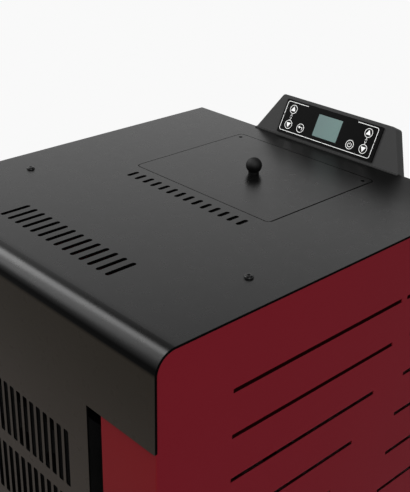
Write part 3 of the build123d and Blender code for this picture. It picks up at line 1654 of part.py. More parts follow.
with BuildPart() as smoke_fan_motor:
    with BuildSketch(facing_right(fan_x_low - fan_motor_length)):
        with Locations((fan_y, fan_height)):
            Circle(fan_motor_radius)
            with PolarLocations(fan_motor_radius, motor_fin_count):
                Rectangle(*motor_fin_gap, mode=Mode.SUBTRACT)
    extrude(amount=fan_motor_length - motor_flange)
    with BuildSketch(facing_right(fan_x_low - motor_flange)):
        with Locations((fan_y, fan_height)):
            motor_flange_side = 2 * (fan_motor_radius + motor_flange_rim)
            RectangleRounded(motor_flange_side, motor_flange_side, motor_flange_corner)
    extrude(amount=motor_flange)
    with BuildSketch(facing_right(fan_x_low - fan_shaft_in_motor - 2 * loose_clearance)):
        with Locations((fan_y, fan_height)):
            Circle(fan_shaft_radius + running_clearance)
    extrude(amount=fan_shaft_in_motor + 2 * loose_clearance, mode=Mode.SUBTRACT)
save(smoke_fan_motor, "smoke_fan_motor")

spigot_x = (fan_x_low + fan_x_high) / 2
spigot_z = (scroll_out_low - scroll_wall + scroll_out_high) / 2
with BuildPart() as flue_spigot:
    with BuildSketch(facing_front(scroll_rear_y + spigot_flange)):
        with Locations((spigot_x, spigot_z)):
            RectangleRounded(
                2 * (spigot_radius + spigot_rim_x),
                2 * (spigot_radius + spigot_rim_z),
                spigot_flange_corner,
            )
            Circle(spigot_radius - spigot_wall, mode=Mode.SUBTRACT)
    extrude(amount=spigot_flange)
    # The last stretch, where the flue pipe goes on, is rolled out to its nominal size.
    for end_y, start_y, radius in (
        (back_y + pipe_step_gap, scroll_rear_y + spigot_flange, spigot_radius - spigot_step),
        (back_y + spigot_reach, back_y + pipe_step_gap, spigot_radius),
    ):
        with BuildSketch(facing_front(end_y)):
            with Locations((spigot_x, spigot_z)):
                Circle(radius)
                Circle(spigot_radius - spigot_wall, mode=Mode.SUBTRACT)
        extrude(amount=end_y - start_y)
save(flue_spigot, "flue_spigot")

# ---------------------------------------------------------------- room-air blower
blower_rear_y = rear_panel_y - blower_rear_gap
blower_front_y = blower_rear_y - blower_box_depth
blower_mid_y = (blower_rear_y + blower_front_y) / 2
blower_low = base_top
blower_high = blower_low + blower_box_height
drum_z = blower_low + blower_sheet + drum_radius + blower_floor_gap
blower_end = chassis_half - blower_side_gap - blower_motor_length
blower_length = blower_end - blower_start
drum_start = blower_start + blower_sheet + drum_end_gap
drum_end = blower_end - blower_sheet - drum_end_gap

with BuildPart() as blower_housing:
    with BuildSketch(facing_right(blower_start)):
        span(blower_front_y, blower_rear_y, blower_low, blower_high, blower_corner)
    extrude(amount=blower_length)
    with BuildSketch(facing_right(blower_start + blower_sheet)):
        span(
            blower_front_y + blower_sheet,
            blower_rear_y - blower_sheet,
            blower_low + blower_sheet,
            blower_high - blower_sheet,
            blower_corner - blower_sheet,
        )
    extrude(amount=blower_length - 2 * blower_sheet, mode=Mode.SUBTRACT)
    # Air goes in at the rear and out at the top.
    with BuildSketch(facing_front(blower_rear_y)):
        span(
            blower_start + blower_window_inset,
            blower_end - blower_window_inset,
            blower_low + blower_window_low,
            blower_high - blower_window_high,
            blower_window_corner,
        )
    extrude(amount=blower_sheet, mode=Mode.SUBTRACT)
    with BuildSketch(level(blower_high)):
        span(
            blower_start + blower_window_inset,
            blower_end - blower_window_inset,
            blower_front_y + blower_window_low,
            blower_mid_y + blower_window_inset,
            blower_window_corner,
        )
    extrude(amount=-blower_sheet, mode=Mode.SUBTRACT)
    with BuildSketch(facing_right(blower_start)):
        with Locations((blower_mid_y, drum_z)):
            Circle(fan_shaft_radius + running_clearance)
    extrude(amount=blower_length, mode=Mode.SUBTRACT)
save(blower_housing, "blower_housing")

with BuildPart() as blower_drum:
    for disc_x in (drum_start, (drum_start + drum_end - drum_disc) / 2, drum_end - drum_disc):
        with BuildSketch(facing_right(disc_x)):
            with Locations((blower_mid_y, drum_z)):
                Circle(drum_radius)
        extrude(amount=drum_disc)
    with BuildSketch(facing_right(drum_start)):
        with Locations((blower_mid_y, drum_z)):
            with PolarLocations(drum_radius - drum_blade_chord / 2 - drum_edge_gap, drum_blades):
                Rectangle(drum_blade_chord, drum_blade_thickness, rotation=drum_blade_angle)
    extrude(amount=drum_end - drum_start)
    with BuildSketch(facing_right(blower_start - drum_overlap)):
        with Locations((blower_mid_y, drum_z)):
            Circle(fan_shaft_radius)
    extrude(amount=drum_start - blower_start + 2 * drum_overlap)
    with BuildSketch(facing_right(drum_end - drum_overlap)):
        with Locations((blower_mid_y, drum_z)):
            Circle(fan_shaft_radius)
    extrude(amount=blower_end - drum_end + drum_overlap + blower_shaft_in_motor)
save(blower_drum, "blower_drum")

with BuildPart() as blower_motor:
    with BuildSketch(facing_right(blower_end)):
        with Locations((blower_mid_y, drum_z)):
            Circle(blower_motor_radius)
    extrude(amount=blower_motor_length)
    fillet(blower_motor.faces().sort_by(Axis.X)[-1].edges(), blower_motor_edge)
    with BuildSketch(facing_right(blower_end)):
        with Locations((blower_mid_y, drum_z)):
            Circle(fan_shaft_radius + running_clearance)
    extrude(amount=blower_shaft_in_motor + 2 * loose_clearance, mode=Mode.SUBTRACT)
save(blower_motor, "blower_motor")

# ---------------------------------------------------------------- electrics
board_x = chassis_half - board_stand
board_front_x = board_x - board_thickness
with BuildPart() as control_board:
    with BuildSketch(facing_right(board_front_x)):
        with Locations((0, rail_z)):
            Rectangle(board_length, board_height)
    extrude(amount=board_thickness)
    with BuildSketch(facing_right(board_x)):
        with Locations((0, rail_z)):
            with GridLocations(board_length - 2 * stud_inset, board_height - 2 * stud_inset, 2, 2):
                Circle(stud_radius)
    extrude(amount=board_stand)
    with BuildSketch(facing_right(board_front_x - tall_part_height)):
        with Locations((-relay_offset, rail_z)):
            Rectangle(relay_length, relay_width)
        with Locations((coil_offset, rail_z + coil_lift)):
            Rectangle(coil_length, coil_width)
    extrude(amount=tall_part_height)
    with BuildSketch(facing_right(board_front_x - low_part_height)):
        with Locations((terminal_offset, rail_z - terminal_drop)):
            Rectangle(terminal_length, terminal_width)
        with Locations((0, rail_z + can_lift)):
            Circle(can_radius)
    extrude(amount=low_part_height)
save(control_board, "control_board")

with BuildPart() as pressure_switch:
    with BuildSketch(facing_right(-chassis_half)):
        with Locations((0, rail_z)):
            RectangleRounded(tab_length, tab_height, tab_corner)
    extrude(amount=tab_sheet)
    with BuildSketch(facing_right(-chassis_half + tab_sheet)):
        with Locations((0, rail_z)):
            Circle(capsule_radius)
    extrude(amount=capsule_height)
    fillet(pressure_switch.faces().sort_by(Axis.X)[-1].edges(), capsule_edge)
    with BuildSketch(facing_right(-chassis_half + tab_sheet + capsule_height)):
        with Locations((-hose_side, rail_z), (hose_side, rail_z)):
            Circle(hose_radius)
            Circle(hose_bore, mode=Mode.SUBTRACT)
    extrude(amount=hose_length)
save(pressure_switch, "pressure_switch")

inlet_plate_y = rear_panel_y + panel_sheet
socket_z = inlet_height - socket_drop
rocker_z = inlet_height + rocker_lift
socket_pins = (
    (-socket_pin_side, -socket_pin_drop),
    (0.0, socket_pin_rise),
    (socket_pin_side, -socket_pin_drop),
)
rocker_pivot_y = inlet_plate_y - rocker_pivot_depth
with BuildPart() as power_inlet:
    with BuildSketch(facing_front(inlet_plate_y + inlet_plate_sheet)):
        with Locations((inlet_side, inlet_height)):
            RectangleRounded(inlet_plate_width, inlet_plate_height, inlet_plate_corner)
    extrude(amount=inlet_plate_sheet)
    with BuildSketch(facing_front(inlet_plate_y)):
        with Locations((inlet_side, inlet_height)):
            RectangleRounded(inlet_body_width, inlet_body_height, inlet_body_corner)
    extrude(amount=inlet_body_depth)
    with BuildSketch(facing_front(inlet_plate_y + inlet_plate_sheet)):
        with Locations((inlet_side, socket_z)):
            RectangleRounded(socket_width, socket_height, socket_corner)
        with Locations((inlet_side, rocker_z)):
            Rectangle(rocker_width + 2 * loose_clearance, 2 * (rocker_half + rocker_play))
    extrude(amount=inlet_plate_sheet + socket_depth, mode=Mode.SUBTRACT)
    with BuildSketch(facing_front(inlet_plate_y - socket_pin_setback)):
        with Locations(*[(inlet_side + pin_x, socket_z + pin_z) for pin_x, pin_z in socket_pins]):
            Rectangle(socket_pin_width, socket_pin_height)
    extrude(amount=socket_depth)
    with BuildSketch(facing_right(inlet_side - rocker_width / 2 - rocker_pin_length - rocker_pin_gap)):
        with Locations((rocker_pivot_y, rocker_z)):
            Circle(rocker_pin_radius + running_clearance)
    extrude(amount=rocker_width + 2 * (rocker_pin_length + rocker_pin_gap), mode=Mode.SUBTRACT)
save(power_inlet, "power_inlet")

with BuildPart() as power_switch:
    tip = radians(rocker_half_angle)
    rocker_top_z = rocker_z + rocker_half * cos(tip)
    with BuildSketch(facing_right(inlet_side - rocker_width / 2)):
        # The face is a shallow V; at rest its lower half is pressed flush.
        with BuildLine():
            Polyline(
                (rocker_pivot_y - rocker_block, rocker_z - rocker_block),
                (rocker_pivot_y - rocker_block, rocker_z + rocker_block),
                (rocker_pivot_y + rocker_back_high - 2 * rocker_pin_radius * sin(tip), rocker_top_z),
                (rocker_pivot_y + rocker_lip + rocker_half * sin(tip), rocker_top_z),
                (rocker_pivot_y + rocker_face, rocker_z),
                (rocker_pivot_y + rocker_face, rocker_z - rocker_half),
                (rocker_pivot_y + rocker_back_low, rocker_z - rocker_half),
                close=True,
            )
        make_face()
    extrude(amount=rocker_width)
    with BuildSketch(facing_right(inlet_side - rocker_width / 2 - rocker_pin_length)):
        with Locations((rocker_pivot_y, rocker_z)):
            Circle(rocker_pin_radius)
    extrude(amount=rocker_width + 2 * rocker_pin_length)
save(power_switch, "power_switch")

# ---------------------------------------------------------------- rear panel and its screws
console_screw_places = [(-console_screw_side, console_screw_z), (console_screw_side, console_screw_z)]
with BuildPart() as rear_panel:
    with BuildSketch(facing_front(rear_panel_y + panel_sheet)):
        panel_half = panel_inner - panel_gap
        span(-panel_half, panel_half, panel_low, top_height - cover_sheet - panel_gap)
        with Locations((spigot_x, spigot_z)):
            Circle(spigot_radius + spigot_hole_gap, mode=Mode.SUBTRACT)
        with Locations((0, intake_height)):
            Circle(intake_hole, mode=Mode.SUBTRACT)
        with Locations((inlet_side, inlet_height)):
            Rectangle(
                inlet_body_width + loose_clearance,
                inlet_body_height + loose_clearance,
                mode=Mode.SUBTRACT,
            )
        with Locations(((blower_start + blower_end) / 2, (blower_low + blower_high) / 2)):
            with GridLocations(vent_pitch, 0, vent_columns, 1):
                SlotOverall(low_vent_length, vent_width, rotation=90, mode=Mode.SUBTRACT)
        with Locations((0, top_height - high_vent_drop)):
            with GridLocations(vent_pitch * 2, high_vent_row_pitch, high_vent_columns, 2):
                SlotOverall(high_vent_length, vent_width, rotation=90, mode=Mode.SUBTRACT)
        with Locations(*rear_screw_places, *console_screw_places):
            Circle(rear_screw_radius + running_clearance, mode=Mode.SUBTRACT)
    extrude(amount=panel_sheet)
save(rear_panel, "rear_panel")

with BuildPart() as casing_screws:
    for head_y, places in (
        (rear_panel_y + panel_sheet, rear_screw_places),
        (back_y + console_sheet, console_screw_places),
    ):
        with BuildSketch(facing_front(head_y + screw_cap_height)):
            with Locations(*places):
                Circle(2 * rear_screw_radius)
        extrude(amount=screw_cap_height)
        with BuildSketch(facing_front(head_y)):
            with Locations(*places):
                Circle(rear_screw_radius)
        extrude(amount=casing_screw_length)
    chamfer(casing_screws.faces().filter_by(Axis.Y).group_by(Axis.Y)[-1].edges(), screw_edge)
save(casing_screws, "casing_screws")
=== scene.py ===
# The looks of a free-standing pellet stove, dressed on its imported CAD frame.
import math

import bmesh
import bpy
from mathutils import Matrix, Vector


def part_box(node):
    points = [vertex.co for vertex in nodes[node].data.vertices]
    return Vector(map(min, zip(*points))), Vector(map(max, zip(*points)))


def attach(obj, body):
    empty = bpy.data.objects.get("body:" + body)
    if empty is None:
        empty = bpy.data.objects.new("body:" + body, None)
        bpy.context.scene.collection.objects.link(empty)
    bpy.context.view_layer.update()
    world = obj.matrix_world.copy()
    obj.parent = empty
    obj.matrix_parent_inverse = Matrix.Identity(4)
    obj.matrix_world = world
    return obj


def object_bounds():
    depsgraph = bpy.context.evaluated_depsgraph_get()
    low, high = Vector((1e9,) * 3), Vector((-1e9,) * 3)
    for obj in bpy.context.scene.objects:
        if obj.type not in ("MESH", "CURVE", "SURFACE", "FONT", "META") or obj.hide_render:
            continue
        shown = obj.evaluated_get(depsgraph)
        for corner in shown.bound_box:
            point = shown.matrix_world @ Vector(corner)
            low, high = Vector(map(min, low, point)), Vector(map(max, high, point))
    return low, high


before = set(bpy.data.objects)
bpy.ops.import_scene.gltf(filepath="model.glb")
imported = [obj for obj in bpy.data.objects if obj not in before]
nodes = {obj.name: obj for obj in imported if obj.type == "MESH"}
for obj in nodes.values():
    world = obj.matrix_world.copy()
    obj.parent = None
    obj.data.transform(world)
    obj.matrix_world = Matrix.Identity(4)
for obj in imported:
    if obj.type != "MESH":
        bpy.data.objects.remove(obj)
first_low, first_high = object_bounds()
MM = 0.001
COVER_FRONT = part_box("top_cover")[0][1]
CONSOLE_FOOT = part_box("console_shell")[0][1]

# ---------------------------------------------------------------- node helpers


def new_material(name):
    """An empty node material: returns it with its tree, its shader and its output."""
    mat = bpy.data.materials.new(name)
    mat.use_nodes = True
    tree = mat.node_tree
    tree.nodes.clear()
    out = tree.nodes.new("ShaderNodeOutputMaterial")
    shader = tree.nodes.new("ShaderNodeBsdfPrincipled")
    tree.links.new(shader.outputs["BSDF"], out.inputs["Surface"])
    return mat, tree, shader, out


def surface_of(mat):
    """A material's tree and shader, and the socket that colours the shader."""
    tree = mat.node_tree
    shader = next(node for node in tree.nodes if node.type == "BSDF_PRINCIPLED")
    return tree, shader, shader.inputs["Base Color"].links[0].from_socket


def noise(tree, scale, detail=4.0, roughness=0.5, stretch=None):
    """A noise in the object's own coordinates, in cells per metre: returns its factor."""
    coord = tree.nodes.new("ShaderNodeTexCoord")
    tex = tree.nodes.new("ShaderNodeTexNoise")
    tex.inputs["Scale"].default_value = scale
    tex.inputs["Detail"].default_value = detail
    tex.inputs["Roughness"].default_value = roughness
    place = coord.outputs["Object"]
    if stretch:
        mapping = tree.nodes.new("ShaderNodeMapping")
        mapping.inputs["Scale"].default_value = stretch
        tree.links.new(place, mapping.inputs["Vector"])
        place = mapping.outputs["Vector"]
    tree.links.new(place, tex.inputs["Vector"])
    return tex.outputs["Fac"]


def ranged(tree, source, low, high):
    """Maps a 0 to 1 factor onto low to high."""
    node = tree.nodes.new("ShaderNodeMapRange")
    node.inputs["To Min"].default_value = low
    node.inputs["To Max"].default_value = high
    tree.links.new(source, node.inputs["Value"])
    return node.outputs["Result"]


def eased(tree, source, low, high, start=0.0, end=1.0):
    """Goes from start to end as a value goes from low to high, eased at both ends."""
    node = tree.nodes.new("ShaderNodeMapRange")
    node.interpolation_type = "SMOOTHSTEP"
    node.inputs["From Min"].default_value = low
    node.inputs["From Max"].default_value = high
    node.inputs["To Min"].default_value = start
    node.inputs["To Max"].default_value = end
    tree.links.new(source, node.inputs["Value"])
    return node.outputs["Result"]


def slope(tree, output, axis, low, high):
    """Zero to one as an axis of a coordinate output goes from low to high, eased."""
    coord = tree.nodes.new("ShaderNodeTexCoord")
    split = tree.nodes.new("ShaderNodeSeparateXYZ")
    tree.links.new(coord.outputs[output], split.inputs["Vector"])
    return eased(tree, split.outputs[axis], low, high)


def worked(tree, operation, first, second):
    """One step of arithmetic on two value sockets."""
    node = tree.nodes.new("ShaderNodeMath")
    node.operation = operation
    tree.links.new(first, node.inputs[0])
    tree.links.new(second, node.inputs[1])
    return node.outputs["Value"]


def product(tree, first, second):
    """The product of two value sockets."""
    return worked(tree, "MULTIPLY", first, second)


def mixed(tree, factor, low, high):
    """A colour between two colours, by a factor socket."""
    node = tree.nodes.new("ShaderNodeMix")
    node.data_type = "RGBA"
    node.inputs["A"].default_value = (*low, 1)
    node.inputs["B"].default_value = (*high, 1)
    tree.links.new(factor, node.inputs["Factor"])
    return node.outputs["Result"]


def blended(tree, factor, low, high):
    """A colour between two colour sockets, by a factor socket."""
    node = tree.nodes.new("ShaderNodeMix")
    node.data_type = "RGBA"
    tree.links.new(factor, node.inputs["Factor"])
    tree.links.new(low, node.inputs["A"])
    tree.links.new(high, node.inputs["B"])
    return node.outputs["Result"]


def bump(tree, shader, height, strength, distance):
    """Roughens a shader's surface by a height socket."""
    node = tree.nodes.new("ShaderNodeBump")
    node.inputs["Strength"].default_value = strength
    node.inputs["Distance"].default_value = distance
    tree.links.new(height, node.inputs["Height"])
    tree.links.new(node.outputs["Normal"], shader.inputs["Normal"])


def grey(value):
    """A colour without hue."""
    return (value, value, value)


# ---------------------------------------------------------------- kinds of material


def coated(
    name, low, high, rough, spread=0.04, grain=0.25, grain_scale=1500.0, specular=0.5
):
    """Painted or powder-coated sheet: fine orange-peel grain, faint clouds of tone and gloss."""
    mat, tree, shader, _ = new_material(name)
    cloud = noise(tree, 7.0, 3.0, 0.55)
    tree.links.new(mixed(tree, cloud, low, high), shader.inputs["Base Color"])
    fine = noise(tree, 60.0, 6.0, 0.6)
    tree.links.new(
        ranged(tree, fine, rough - spread, rough + spread), shader.inputs["Roughness"]
    )
    bump(tree, shader, noise(tree, grain_scale, 2.0, 0.5), grain, 0.2 * MM)
    shader.inputs["Specular IOR Level"].default_value = specular
    return mat


def metal(name, low, high, rough, stretch=(1, 1, 1), scale=300.0, strength=0.15):
    """Bare metal with a drawn or spangled grain."""
    mat, tree, shader, _ = new_material(name)
    grain = noise(tree, scale, 4.0, 0.6, stretch)
    tree.links.new(mixed(tree, grain, low, high), shader.inputs["Base Color"])
    tree.links.new(ranged(tree, grain, rough - 0.08, rough + 0.08), shader.inputs["Roughness"])
    shader.inputs["Metallic"].default_value = 1.0
    bump(tree, shader, grain, strength, 0.3 * MM)
    return mat


def printed(name, colour):
    """Screen-printed ink with a faint unevenness."""
    mat, tree, shader, _ = new_material(name)
    dim = tuple(0.9 * part for part in colour)
    tree.links.new(mixed(tree, noise(tree, 400.0, 3.0), dim, colour), shader.inputs["Base Color"])
    shader.inputs["Roughness"].default_value = 0.45
    return mat


def spangled(name):
    """Galvanised sheet: small zinc spangles of different tone."""
    mat, tree, shader, _ = new_material(name)
    coord = tree.nodes.new("ShaderNodeTexCoord")
    cells = tree.nodes.new("ShaderNodeTexVoronoi")
    cells.inputs["Scale"].default_value = 120.0
    tree.links.new(coord.outputs["Object"], cells.inputs["Vector"])
    tone = tree.nodes.new("ShaderNodeSeparateColor")
    tree.links.new(cells.outputs["Color"], tone.inputs["Color"])
    zinc_tone = mixed(tree, tone.outputs["Red"], (0.40, 0.41, 0.42), (0.62, 0.63, 0.64))
    tree.links.new(zinc_tone, shader.inputs["Base Color"])
    tree.links.new(ranged(tree, tone.outputs["Green"], 0.35, 0.55), shader.inputs["Roughness"])
    shader.inputs["Metallic"].default_value = 1.0
    return mat


def braided(name):
    """Woven glass rope."""
    mat, tree, shader, _ = new_material(name)
    coord = tree.nodes.new("ShaderNodeTexCoord")
    weave = tree.nodes.new("ShaderNodeTexWave")
    weave.bands_direction = "DIAGONAL"
    weave.inputs["Scale"].default_value = 160.0
    weave.inputs["Distortion"].default_value = 1.2
    tree.links.new(coord.outputs["Object"], weave.inputs["Vector"])
    strands = weave.outputs["Fac"]
    yarn = mixed(tree, strands, (0.05, 0.05, 0.048), (0.13, 0.13, 0.12))
    tree.links.new(yarn, shader.inputs["Base Color"])
    shader.inputs["Roughness"].default_value = 0.9
    bump(tree, shader, strands, 0.7, 0.8 * MM)
    return mat


def glazed(name):
    """Dark heat-proof glass."""
    mat, tree, shader, _ = new_material(name)
    smoke = mixed(tree, noise(tree, 14.0, 3.0), (0.30, 0.27, 0.23), (0.44, 0.41, 0.36))
    tree.links.new(smoke, shader.inputs["Base Color"])
    shader.inputs["Transmission Weight"].default_value = 0.9
    shader.inputs["Roughness"].default_value = 0.03
    shader.inputs["IOR"].default_value = 1.5
    shader.inputs["Specular IOR Level"].default_value = 0.2
    return mat


def display_green(name):
    """Grey-green display, a little lighter to the right, behind a clear foil."""
    mat, tree, shader, _ = new_material(name)
    across = slope(tree, "Generated", "X", -0.2, 1.0)
    tone = mixed(tree, across, (0.0635, 0.122, 0.117), (0.0775, 0.150, 0.139))
    tree.links.new(tone, shader.inputs["Base Color"])
    shader.inputs["Roughness"].default_value = 0.3
    return mat


# ---------------------------------------------------------------- the casing's coats
# Gloss of upright and of level faces; the low gloss of upright faces is painted shade.
SHADED_UPRIGHT_SPECULAR, LYING_SPECULAR = 0.012, 0.25
RIM_EDGE, RIM_BAND = 0.7 * MM, 1.3 * MM
# Distances from the cover's front face: what belongs to the apron, and the bend's band of less
# gloss, which is painted shade.
APRON_DEPTH, APRON_END = 4 * MM, 8 * MM
SHADE_BAND_START, SHADE_BAND_FULL = 33 * MM, 20 * MM
SHADE_BAND_LEAVING, SHADE_BAND_END = 18 * MM, 13 * MM


def near_console(tree, left, right, reach, end):
    """Zero to one from left to right, and from a reach before the console's foot to its end."""
    return product(
        tree,
        slope(tree, "Object", "X", left, right),
        slope(tree, "Object", "Y", CONSOLE_FOOT - reach, CONSOLE_FOOT - end),
    )


def front_painted_light(tree, cloud):
    """The lighter, warmer tone painted on the faces that look forward as painted light, darker
    higher up as painted shade.
    """
    low_part = mixed(tree, cloud, (0.0300, 0.0244, 0.0202), (0.0360, 0.0296, 0.0246))
    high_part = mixed(tree, cloud, (0.0180, 0.0150, 0.0113), (0.0218, 0.0182, 0.0139))
    return blended(tree, slope(tree, "Object", "Z", 0.70, 0.92), low_part, high_part)


def sheet_black(name, rim, front=None):
    """Satin black sheet, glossy where it lies level; its upright faces, edges and slot walls get
    painted shade: less gloss and a darker colour.

    rim is the x of a right edge, along which the gloss is cut to a dark line of painted shade.
    front is the y of a front face, whose lighter, warmer tone is painted light, and of the bend
    above it, which gets a band of painted shade.
    """
    mat = coated(name, grey(0.0018), grey(0.0026), 0.28, spread=0.03, grain=0.12)
    tree, shader, level = surface_of(mat)
    cloud = noise(tree, 5.0, 3.0, 0.5)
    # Painted shade: upright faces, edges and slot walls are darker than level ones.
    upright = mixed(tree, cloud, grey(0.0012), grey(0.0020))
    # Painted shade: a dark line along the right edge, where the gloss and the front's painted
    # light fade out.
    inside = slope(tree, "Object", "X", rim - RIM_EDGE, rim - RIM_BAND)
    if front is not None:
        # Painted light: the forward faces of the apron get a lighter, warmer colour than the rest
        # of the sheet.
        forward = product(
            tree,
            slope(tree, "Object", "Y", front + APRON_END, front + APRON_DEPTH),
            slope(tree, "Normal", "Y", -0.985, -1.0),
        )
        forward = product(tree, forward, inside)
        upright = blended(tree, forward, upright, front_painted_light(tree, cloud))
    lying = slope(tree, "Normal", "Z", 0.33, 0.70)
    tree.links.new(blended(tree, lying, upright, level), shader.inputs["Base Color"])

    gloss = ranged(tree, lying, SHADED_UPRIGHT_SPECULAR, LYING_SPECULAR)
    if front is not None:
        # Painted shade: the gloss is lessened in a band along the bend, darkening it.
        bend = product(
            tree,
            slope(tree, "Object", "Y", front + SHADE_BAND_START, front + SHADE_BAND_FULL),
            slope(tree, "Object", "Y", front + SHADE_BAND_END, front + SHADE_BAND_LEAVING),
        )
        gloss = product(tree, gloss, ranged(tree, bend, 1.0, 0.60))
    # Painted shade: the gloss of the top fades before the console's foot, darkening it there.
    shade = near_console(tree, left=-0.03, right=0.16, reach=0.20, end=0.0)
    gloss = product(tree, gloss, ranged(tree, shade, 1.0, 0.30))
    # The dark line of painted shade along the right edge.
    gloss = product(tree, gloss, inside)
    tree.links.new(gloss, shader.inputs["Specular IOR Level"])

    rough = shader.inputs["Roughness"].links[0].from_socket
    close = near_console(tree, left=-0.10, right=0.02, reach=0.10, end=0.02)
    dull = worked(tree, "ADD", rough, ranged(tree, close, 0.0, 0.14))
    tree.links.new(dull, shader.inputs["Roughness"])
    return mat


def panel_red(name):
    """Flat red sheet whose forward faces are a little brighter, as painted light, and whose
    upward-facing cut edges and slot walls are dark, as painted shade.
    """
    face_low, face_high = (0.117, 0.0074, 0.0124), (0.127, 0.0083, 0.0142)
    mat = coated(name, face_low, face_high, 0.38, grain=0.16, specular=0.008)
    tree, shader, face = surface_of(mat)
    cloud = noise(tree, 9.0, 3.0, 0.5)
    # Painted light: the forward-facing return is a little brighter than the side.
    front = mixed(tree, cloud, (0.136, 0.0092, 0.0118), (0.148, 0.0100, 0.0130))
    # Painted shade: upward-facing cut edges and slot walls are nearly black.
    cut = mixed(tree, cloud, (0.0100, 0.0014, 0.0014), (0.0130, 0.0018, 0.0018))
    face = blended(tree, slope(tree, "Normal", "Y", -0.6, -0.95), face, front)
    lying = slope(tree, "Normal", "Z", 0.4, 0.8)
    tree.links.new(blended(tree, lying, face, cut), shader.inputs["Base Color"])
    return mat


def console_black(name):
    """Satin black of the console, darker on its right end as painted shade."""
    mat = coated(name, grey(0.037), grey(0.042), 0.42, grain=0.2, specular=0.05)
    tree, shader, face = surface_of(mat)
    # Painted shade on the faces that look to the right.
    end = mixed(tree, noise(tree, 9.0, 3.0, 0.5), grey(0.023), grey(0.026))
    aside = slope(tree, "Normal", "X", 0.3, 0.8)
    tree.links.new(blended(tree, aside, face, end), shader.inputs["Base Color"])
    return mat


def knob_black(name):
    """Dull black of the knob, with a painted highlight where it faces up and forward."""
    dark_low, dark_high = grey(0.0008), grey(0.0014)
    mat = coated(name, dark_low, dark_high, 0.60, grain=0.08, grain_scale=900.0, specular=0.10)
    tree, shader, face = surface_of(mat)
    # Painted highlight on the faces that look up and forward.
    crown_highlight = mixed(tree, noise(tree, 9.0, 3.0, 0.5), grey(0.020), grey(0.024))
    lit = product(
        tree, slope(tree, "Normal", "Z", -0.1, 0.8), slope(tree, "Normal", "Y", 0.4, -0.8)
    )
    tree.links.new(blended(tree, lit, face, crown_highlight), shader.inputs["Base Color"])
    return mat


# ---------------------------------------------------------------- materials
cover_black = sheet_black("satin_black", rim=first_high[0], front=COVER_FRONT)
lid_black = sheet_black("lid_black", rim=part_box("hopper_lid")[1][0])
satin_console = console_black("console_black")
red = panel_red("dark_red")
knob = knob_black("knob_black")
# Near-black inner parts; on the hopper this black is painted shade for the casing's dark inside
# seen through the slots.
inner_black = coated("inner_black", grey(0.0028), grey(0.0038), 0.7, specular=0.03)
# The frames are near-black without any gloss, as painted shade for the dark inside seen through
# the side panels' louvres.
frame_shade_black = coated(
    "frame_shade_black", (0.0050, 0.0008, 0.0008), (0.0070, 0.0010, 0.0010), 0.8, specular=0.0
)
iron = coated(
    "cast_grey",
    (0.035, 0.035, 0.037),
    (0.055, 0.055, 0.057),
    0.7,
    spread=0.1,
    grain=0.7,
    grain_scale=500.0,
)
board = coated(
    "vermiculite", (0.42, 0.36, 0.26), (0.60, 0.53, 0.40), 0.85, grain=0.8, grain_scale=350.0
)
plastic = coated("black_plastic", grey(0.013), grey(0.017), 0.5, grain=0.35, grain_scale=1100.0)
foil = coated(
    "keypad_foil", grey(0.0018), grey(0.0026), 0.26, grain=0.06, grain_scale=2200.0, specular=0.030
)
circuit = coated(
    "circuit_green", (0.010, 0.075, 0.03), (0.016, 0.10, 0.04), 0.35, grain=0.3, grain_scale=700.0
)
rubber = coated("rubber_black", grey(0.014), grey(0.020), 0.75, grain=0.4, grain_scale=800.0)
ceramic = coated("ceramic_white", (0.66, 0.65, 0.60), (0.74, 0.73, 0.68), 0.4, grain=0.2)
screw_black = coated("screw_black", grey(0.003), grey(0.005), 0.26, specular=0.20)
steel = metal("bright_steel", (0.42, 0.42, 0.43), (0.55, 0.55, 0.56), 0.3, (8, 1, 1))
cast_metal = metal(
    "cast_aluminium", (0.50, 0.51, 0.52), (0.62, 0.63, 0.64), 0.5, scale=500.0, strength=0.4
)
bronze = metal(
    "sintered_bronze", (0.45, 0.30, 0.14), (0.55, 0.38, 0.18), 0.5, scale=700.0, strength=0.4
)
zinc = spangled("zinc_spangle")
rope = braided("glass_rope")
glass = glazed("stove_glass")
white_ink = printed("white_ink", (0.93, 0.93, 0.92))
lcd = display_green("lcd_green")

dress = {
    cover_black: ("top_cover",),
    lid_black: ("hopper_lid", "base_plate"),
    satin_console: ("console_shell", "console_back"),
    red: ("side_panel_right", "side_panel_left"),
    frame_shade_black: ("frame_left", "frame_right"),
    inner_black: ("hopper", "firebox", "heat_exchanger", "ash_drawer", "fire_door"),
    knob: ("lid_knob",),
    plastic: ("pressure_switch", "power_inlet", "power_switch"),
    foil: (
        "keypad_plate",
        "key_left_up",
        "key_left_down",
        "key_escape",
        "key_power",
        "key_right_up",
        "key_right_down",
    ),
    lcd: ("display_window",),
    circuit: ("display_board", "control_board"),
    zinc: ("auger_tube", "smoke_duct", "blower_housing", "rear_panel", "air_intake_pipe"),
    cast_metal: ("auger_gearmotor", "smoke_fan_housing", "smoke_fan_motor", "flue_spigot"),
    steel: (
        "lid_hinge_rod",
        "auger_screw",
        "glass_clips",
        "door_hinge_pins",
        "door_handle",
        "smoke_impeller",
        "blower_drum",
        "blower_motor",
        "casing_screws",
    ),
    bronze: ("auger_bushes",),
    iron: ("fire_back_plate", "pot_cradle", "burn_pot"),
    board: ("baffle",),
    ceramic: ("igniter",),
    rope: ("lid_seal", "door_seal"),
    glass: ("door_glass",),
    rubber: ("foot_front_left", "foot_front_right", "foot_rear_left", "foot_rear_right"),
    screw_black: ("top_screws",),
}
for material, names in dress.items():
    for name in names:
        for slot in nodes[name].material_slots:
            slot.material = material

